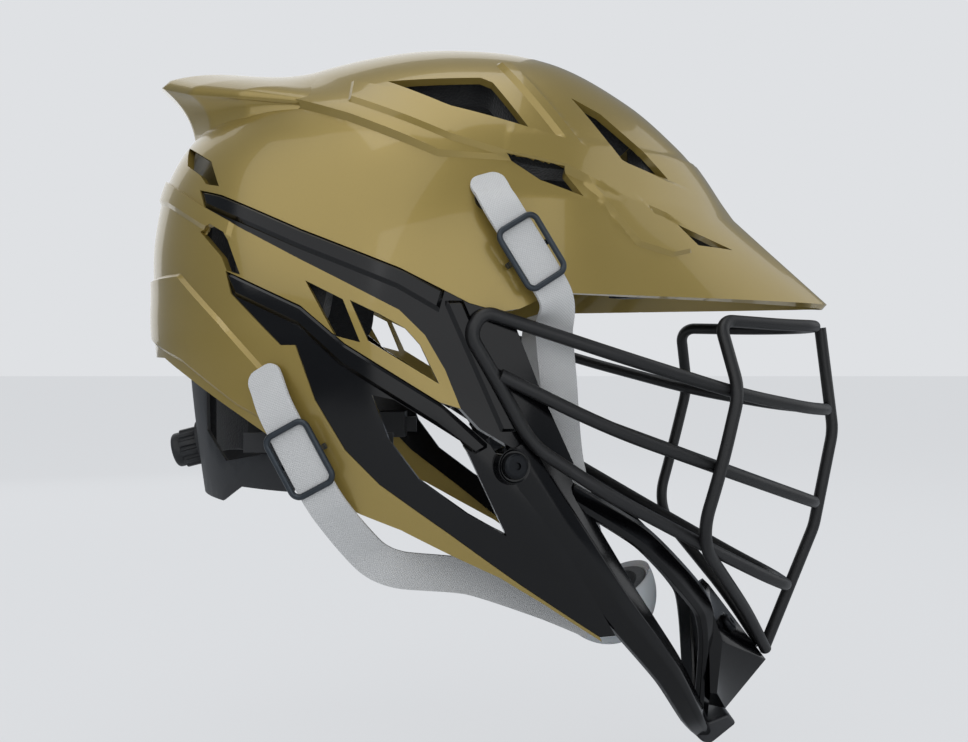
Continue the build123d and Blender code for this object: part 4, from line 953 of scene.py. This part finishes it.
# Fit system: a springy polypropylene cradle under the nape, drawn in by a ribbed dial on its back.
# Its strap bars slide through guides inside the shell, and a foam pad faces the neck.
# Unpainted polypropylene looks even and a little waxy.
dull, tree = new_material("matt moulded black polypropylene")
place = node(tree, "ShaderNodeTexCoord").outputs["Object"]
grain = node(tree, "ShaderNodeTexNoise", inputs={"Vector": place, "Scale": 1600.0, "Detail": 3.0})
shade = node(tree, "ShaderNodeMix", {"data_type": "RGBA"}, {
    "Factor": grain.outputs["Fac"], "A": linear("#17181a"), "B": linear("#212225")})
bump = node(tree, "ShaderNodeBump", inputs={
    "Height": grain.outputs["Fac"], "Strength": 0.15, "Distance": 0.0003})
finish_material(tree, {
    "Base Color": shade.outputs["Result"], "Roughness": 0.5, "Normal": bump.outputs["Normal"]})
for name, edge in (("cradle", 0.0006), ("fit_dial", 0.0004), ("dial_cap", 0.0003), ("dial_axle", 0.0002),
                   ("guide_left", 0.0004), ("guide_right", 0.0004)):
    dress(name, dull, edge)
CRADLE_PAD = [(-0.600, -0.064), (-0.389, -0.064), (-0.389, -0.184), (-0.600, -0.148)]
CRADLE_PAD_GAP, CRADLE_PAD_DEPTH, THIN_PAD_ROUND = 0.0178, 0.0052, 0.0018
cradle_sheet = pad_across(30, 40, -CRADLE_PAD_GAP, 150, 215, CRADLE_PAD)
pad(cradle_sheet, "cradle_cushion", "cradle_pad", "cradle", CRADLE_PAD_DEPTH, THIN_PAD_ROUND)


# Chin strap: flat polyester webbing, 15 mm wide, from snap tabs on the shells to the cup.
# Each run passes a bent-wire buckle that sets its length. Real threads are too fine to show, so the plain
# weave is drawn with threads 0.6 mm wide.
webbing, tree = new_material("pale woven polyester webbing")
spot = node(tree, "ShaderNodeTexCoord").outputs["UV"]
spread = node(tree, "ShaderNodeSeparateXYZ", inputs={"Vector": spot})
WEAVE_PITCH = 0.0012
waves = []
for axis in ("X", "Y"):
    turns = node(tree, "ShaderNodeMath", {"operation": "MULTIPLY"},
                 {0: spread.outputs[axis], 1: math.tau / WEAVE_PITCH})
    waves.append(node(tree, "ShaderNodeMath", {"operation": "SINE"}, {0: turns.outputs[0]}).outputs[0])
weave = node(tree, "ShaderNodeMath", {"operation": "MULTIPLY_ADD"}, {0: waves[0], 1: waves[1], 2: 0.5})
shade = node(tree, "ShaderNodeMix", {"data_type": "RGBA"}, {
    "Factor": weave.outputs[0], "A": linear("#c6c6c5"), "B": linear("#d2d2d1")})
bump = node(tree, "ShaderNodeBump", inputs={
    "Height": weave.outputs[0], "Strength": 0.25, "Distance": 0.0003})
finish_material(tree, {
    "Base Color": shade.outputs["Result"], "Roughness": 0.8, "Sheen Weight": 0.2, "Sheen Roughness": 0.5,
    "Normal": bump.outputs["Normal"]})

WEBBING_HALF = 0.0075
WEBBING_WALL = 0.0016
TAB_CORNER = 0.0050
FRONT_TAB_LIFT, REAR_TAB_LIFT, RUN_LIFT = 0.0022, 0.0038, 0.0064
FRONT_TAB = [(0.111, 0.162), (0.126, 0.131), (0.202, 0.033)]
FRONT_FREE = [(0.214, 0.812, -0.010), (0.222, 0.760, -0.072), (0.240, 0.630, -0.188), (0.312, 0.378, -0.380)]
REAR_TAB = [(-0.228, -0.077), (-0.206, -0.112), (-0.138, -0.214)]
REAR_FREE = [
    (-0.080, 0.846, -0.289), (-0.033, 0.788, -0.310), (0.079, 0.625, -0.328), (0.208, 0.450, -0.372),
    (0.292, 0.402, -0.402),
]


def strap_route(tab, tab_lift, free):
    """Middle line of a run of webbing and its outward directions."""
    places = side(tab)
    outs = [outward(x, z) for x, z in places]
    lifts = (tab_lift, RUN_LIFT, RUN_LIFT)
    line = [Vector((x, half_width(x, z), z)) + out * lift for (x, z), out, lift in zip(places, outs, lifts)]
    line += located(free)
    outs += [Vector((0, 1, 0))] * len(free)
    line.insert(0, line[0] + (line[0] - line[1]).normalized() * WEBBING_HALF)
    outs.insert(0, outs[0])
    return line, outs


def strap(name, hand, sign, tab, tab_lift, free, node_name):
    """One run of webbing with a rounded tab at its upper end."""
    line, outs = strap_route(tab, tab_lift, free)
    line, outs = smooth_line(line), smooth_line(outs)
    runs = [0.0]
    for a, b in zip(line, line[1:]):
        runs.append(runs[-1] + (b - a).length)
    bm = bmesh.new()
    bmesh.ops.create_grid(bm, x_segments=len(line) - 1, y_segments=8, size=1)
    uv = bm.loops.layers.uv.new("webbing")
    for f in bm.faces:
        for loop in f.loops:
            index = round((loop.vert.co.x + 1) / 2 * (len(line) - 1))
            loop[uv].uv = (runs[index], loop.vert.co.y * WEBBING_HALF)
    for v in bm.verts:
        index = round((v.co.x + 1) / 2 * (len(line) - 1))
        ahead = (line[min(index + 1, len(line) - 1)] - line[max(index - 1, 0)]).normalized()
        across = ahead.cross(outs[index]).normalized()
        reach = min(runs[index] / TAB_CORNER, 1)
        half = WEBBING_HALF - TAB_CORNER * (1 - math.sqrt(max(1 - (1 - reach) ** 2, 0)))
        v.co = line[index] + across * (v.co.y * half)
    for v in bm.verts:
        v.co.y *= sign
    bmesh.ops.recalc_face_normals(bm, faces=bm.faces)
    piece = put(bm, f"{name}_{hand}", webbing, "helmet")
    wall = piece.modifiers.new("thickness", "SOLIDIFY")
    wall.thickness, wall.offset = WEBBING_WALL, 0
    round_edges(piece, 0.0004)
    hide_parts(f"{node_name}_{hand}")


for hand, sign in HANDS:
    strap("front_webbing", hand, sign, FRONT_TAB, FRONT_TAB_LIFT, FRONT_FREE, "front_strap")
    strap("rear_webbing", hand, sign, REAR_TAB, REAR_TAB_LIFT, REAR_FREE, "rear_strap")

# Plated wire: smooth grey metal with soft highlights.
wire, tree = new_material("dark grey plated wire")
place = node(tree, "ShaderNodeTexCoord").outputs["Object"]
haze = node(tree, "ShaderNodeTexNoise", inputs={"Vector": place, "Scale": 400.0, "Detail": 3.0})
rough = node(tree, "ShaderNodeMapRange", inputs={
    "Value": haze.outputs["Fac"], "To Min": 0.25, "To Max": 0.4})
shade = node(tree, "ShaderNodeMix", {"data_type": "RGBA"}, {
    "Factor": haze.outputs["Fac"], "A": linear("#34393e"), "B": linear("#42484e")})
finish_material(tree, {
    "Base Color": shade.outputs["Result"], "Metallic": 0.7, "Roughness": rough.outputs["Result"]})
for hand in ("left", "right"):
    for name in ("front_buckle", "rear_buckle"):
        dress(f"{name}_{hand}", wire, 0.0004, 40)
    for name in ("front_snap", "rear_snap"):
        dress(f"{name}_{hand}", oxide, 0.0003)


# Chin cup: a shallow cup moulded in pale polyethylene, with a soft foam pad inside it.
# The straps end at its sides. Polyethylene is waxy and lit a little from within.
cup_shell, tree = new_material("moulded pale polyethylene")
place = node(tree, "ShaderNodeTexCoord").outputs["Object"]
grain = node(tree, "ShaderNodeTexNoise", inputs={"Vector": place, "Scale": 700.0, "Detail": 3.0})
soil = node(tree, "ShaderNodeTexNoise", inputs={"Vector": place, "Scale": 35.0, "Detail": 4.0})
shade = node(tree, "ShaderNodeMix", {"data_type": "RGBA"}, {
    "Factor": soil.outputs["Fac"], "A": linear("#c9cacc"), "B": linear("#d4d5d7")})
bump = node(tree, "ShaderNodeBump", inputs={
    "Height": grain.outputs["Fac"], "Strength": 0.15, "Distance": 0.0003})
finish_material(tree, {
    "Base Color": shade.outputs["Result"], "Roughness": 0.45, "Subsurface Weight": 0.1,
    "Normal": bump.outputs["Normal"]})

CUP_CENTRE = Vector((0.328 * LENGTH, 0, -0.381 * HEIGHT))
CUP_RADII = (0.024, 0.038, 0.025)
CUP_TILT = math.radians(-30)
CUP_WALL, CUP_ROUND = 0.0029, 0.0010
CUP_PAD_INSET, CUP_PAD_RIM, CUP_PAD_DEPTH = 0.0031, -0.06, 0.0046


def cup_layer(inset, rim):
    """Lower half of the cup's egg, tilted towards the chin and cut at its rim."""
    bm = bmesh.new()
    bmesh.ops.create_uvsphere(bm, u_segments=64, v_segments=32, radius=1)
    bmesh.ops.bisect_plane(bm, geom=bm.verts[:] + bm.edges[:] + bm.faces[:], plane_co=(0, 0, rim),
                           plane_no=(0, 0, 1), clear_outer=True)
    bmesh.ops.scale(bm, verts=bm.verts, vec=[radius - inset for radius in CUP_RADII])
    bmesh.ops.rotate(bm, verts=bm.verts, cent=(0, 0, 0), matrix=Matrix.Rotation(CUP_TILT, 3, "Y"))
    bmesh.ops.translate(bm, verts=bm.verts, vec=CUP_CENTRE)
    bmesh.ops.recalc_face_normals(bm, faces=bm.faces)
    if sum(f.normal.dot(f.calc_center_median() - CUP_CENTRE) for f in bm.faces) < 0:
        bmesh.ops.reverse_faces(bm, faces=bm.faces)
    return bm


cup = put(cup_layer(0.0, 0.0), "cup", cup_shell, "helmet")
thicken(cup, CUP_WALL, CUP_ROUND)
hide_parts("chin_cup")
cup_sheet = cup_layer(CUP_PAD_INSET, CUP_PAD_RIM)
pad(cup_sheet, "cup_cushion", "chin_cup_pad", "helmet", CUP_PAD_DEPTH, THIN_PAD_ROUND)
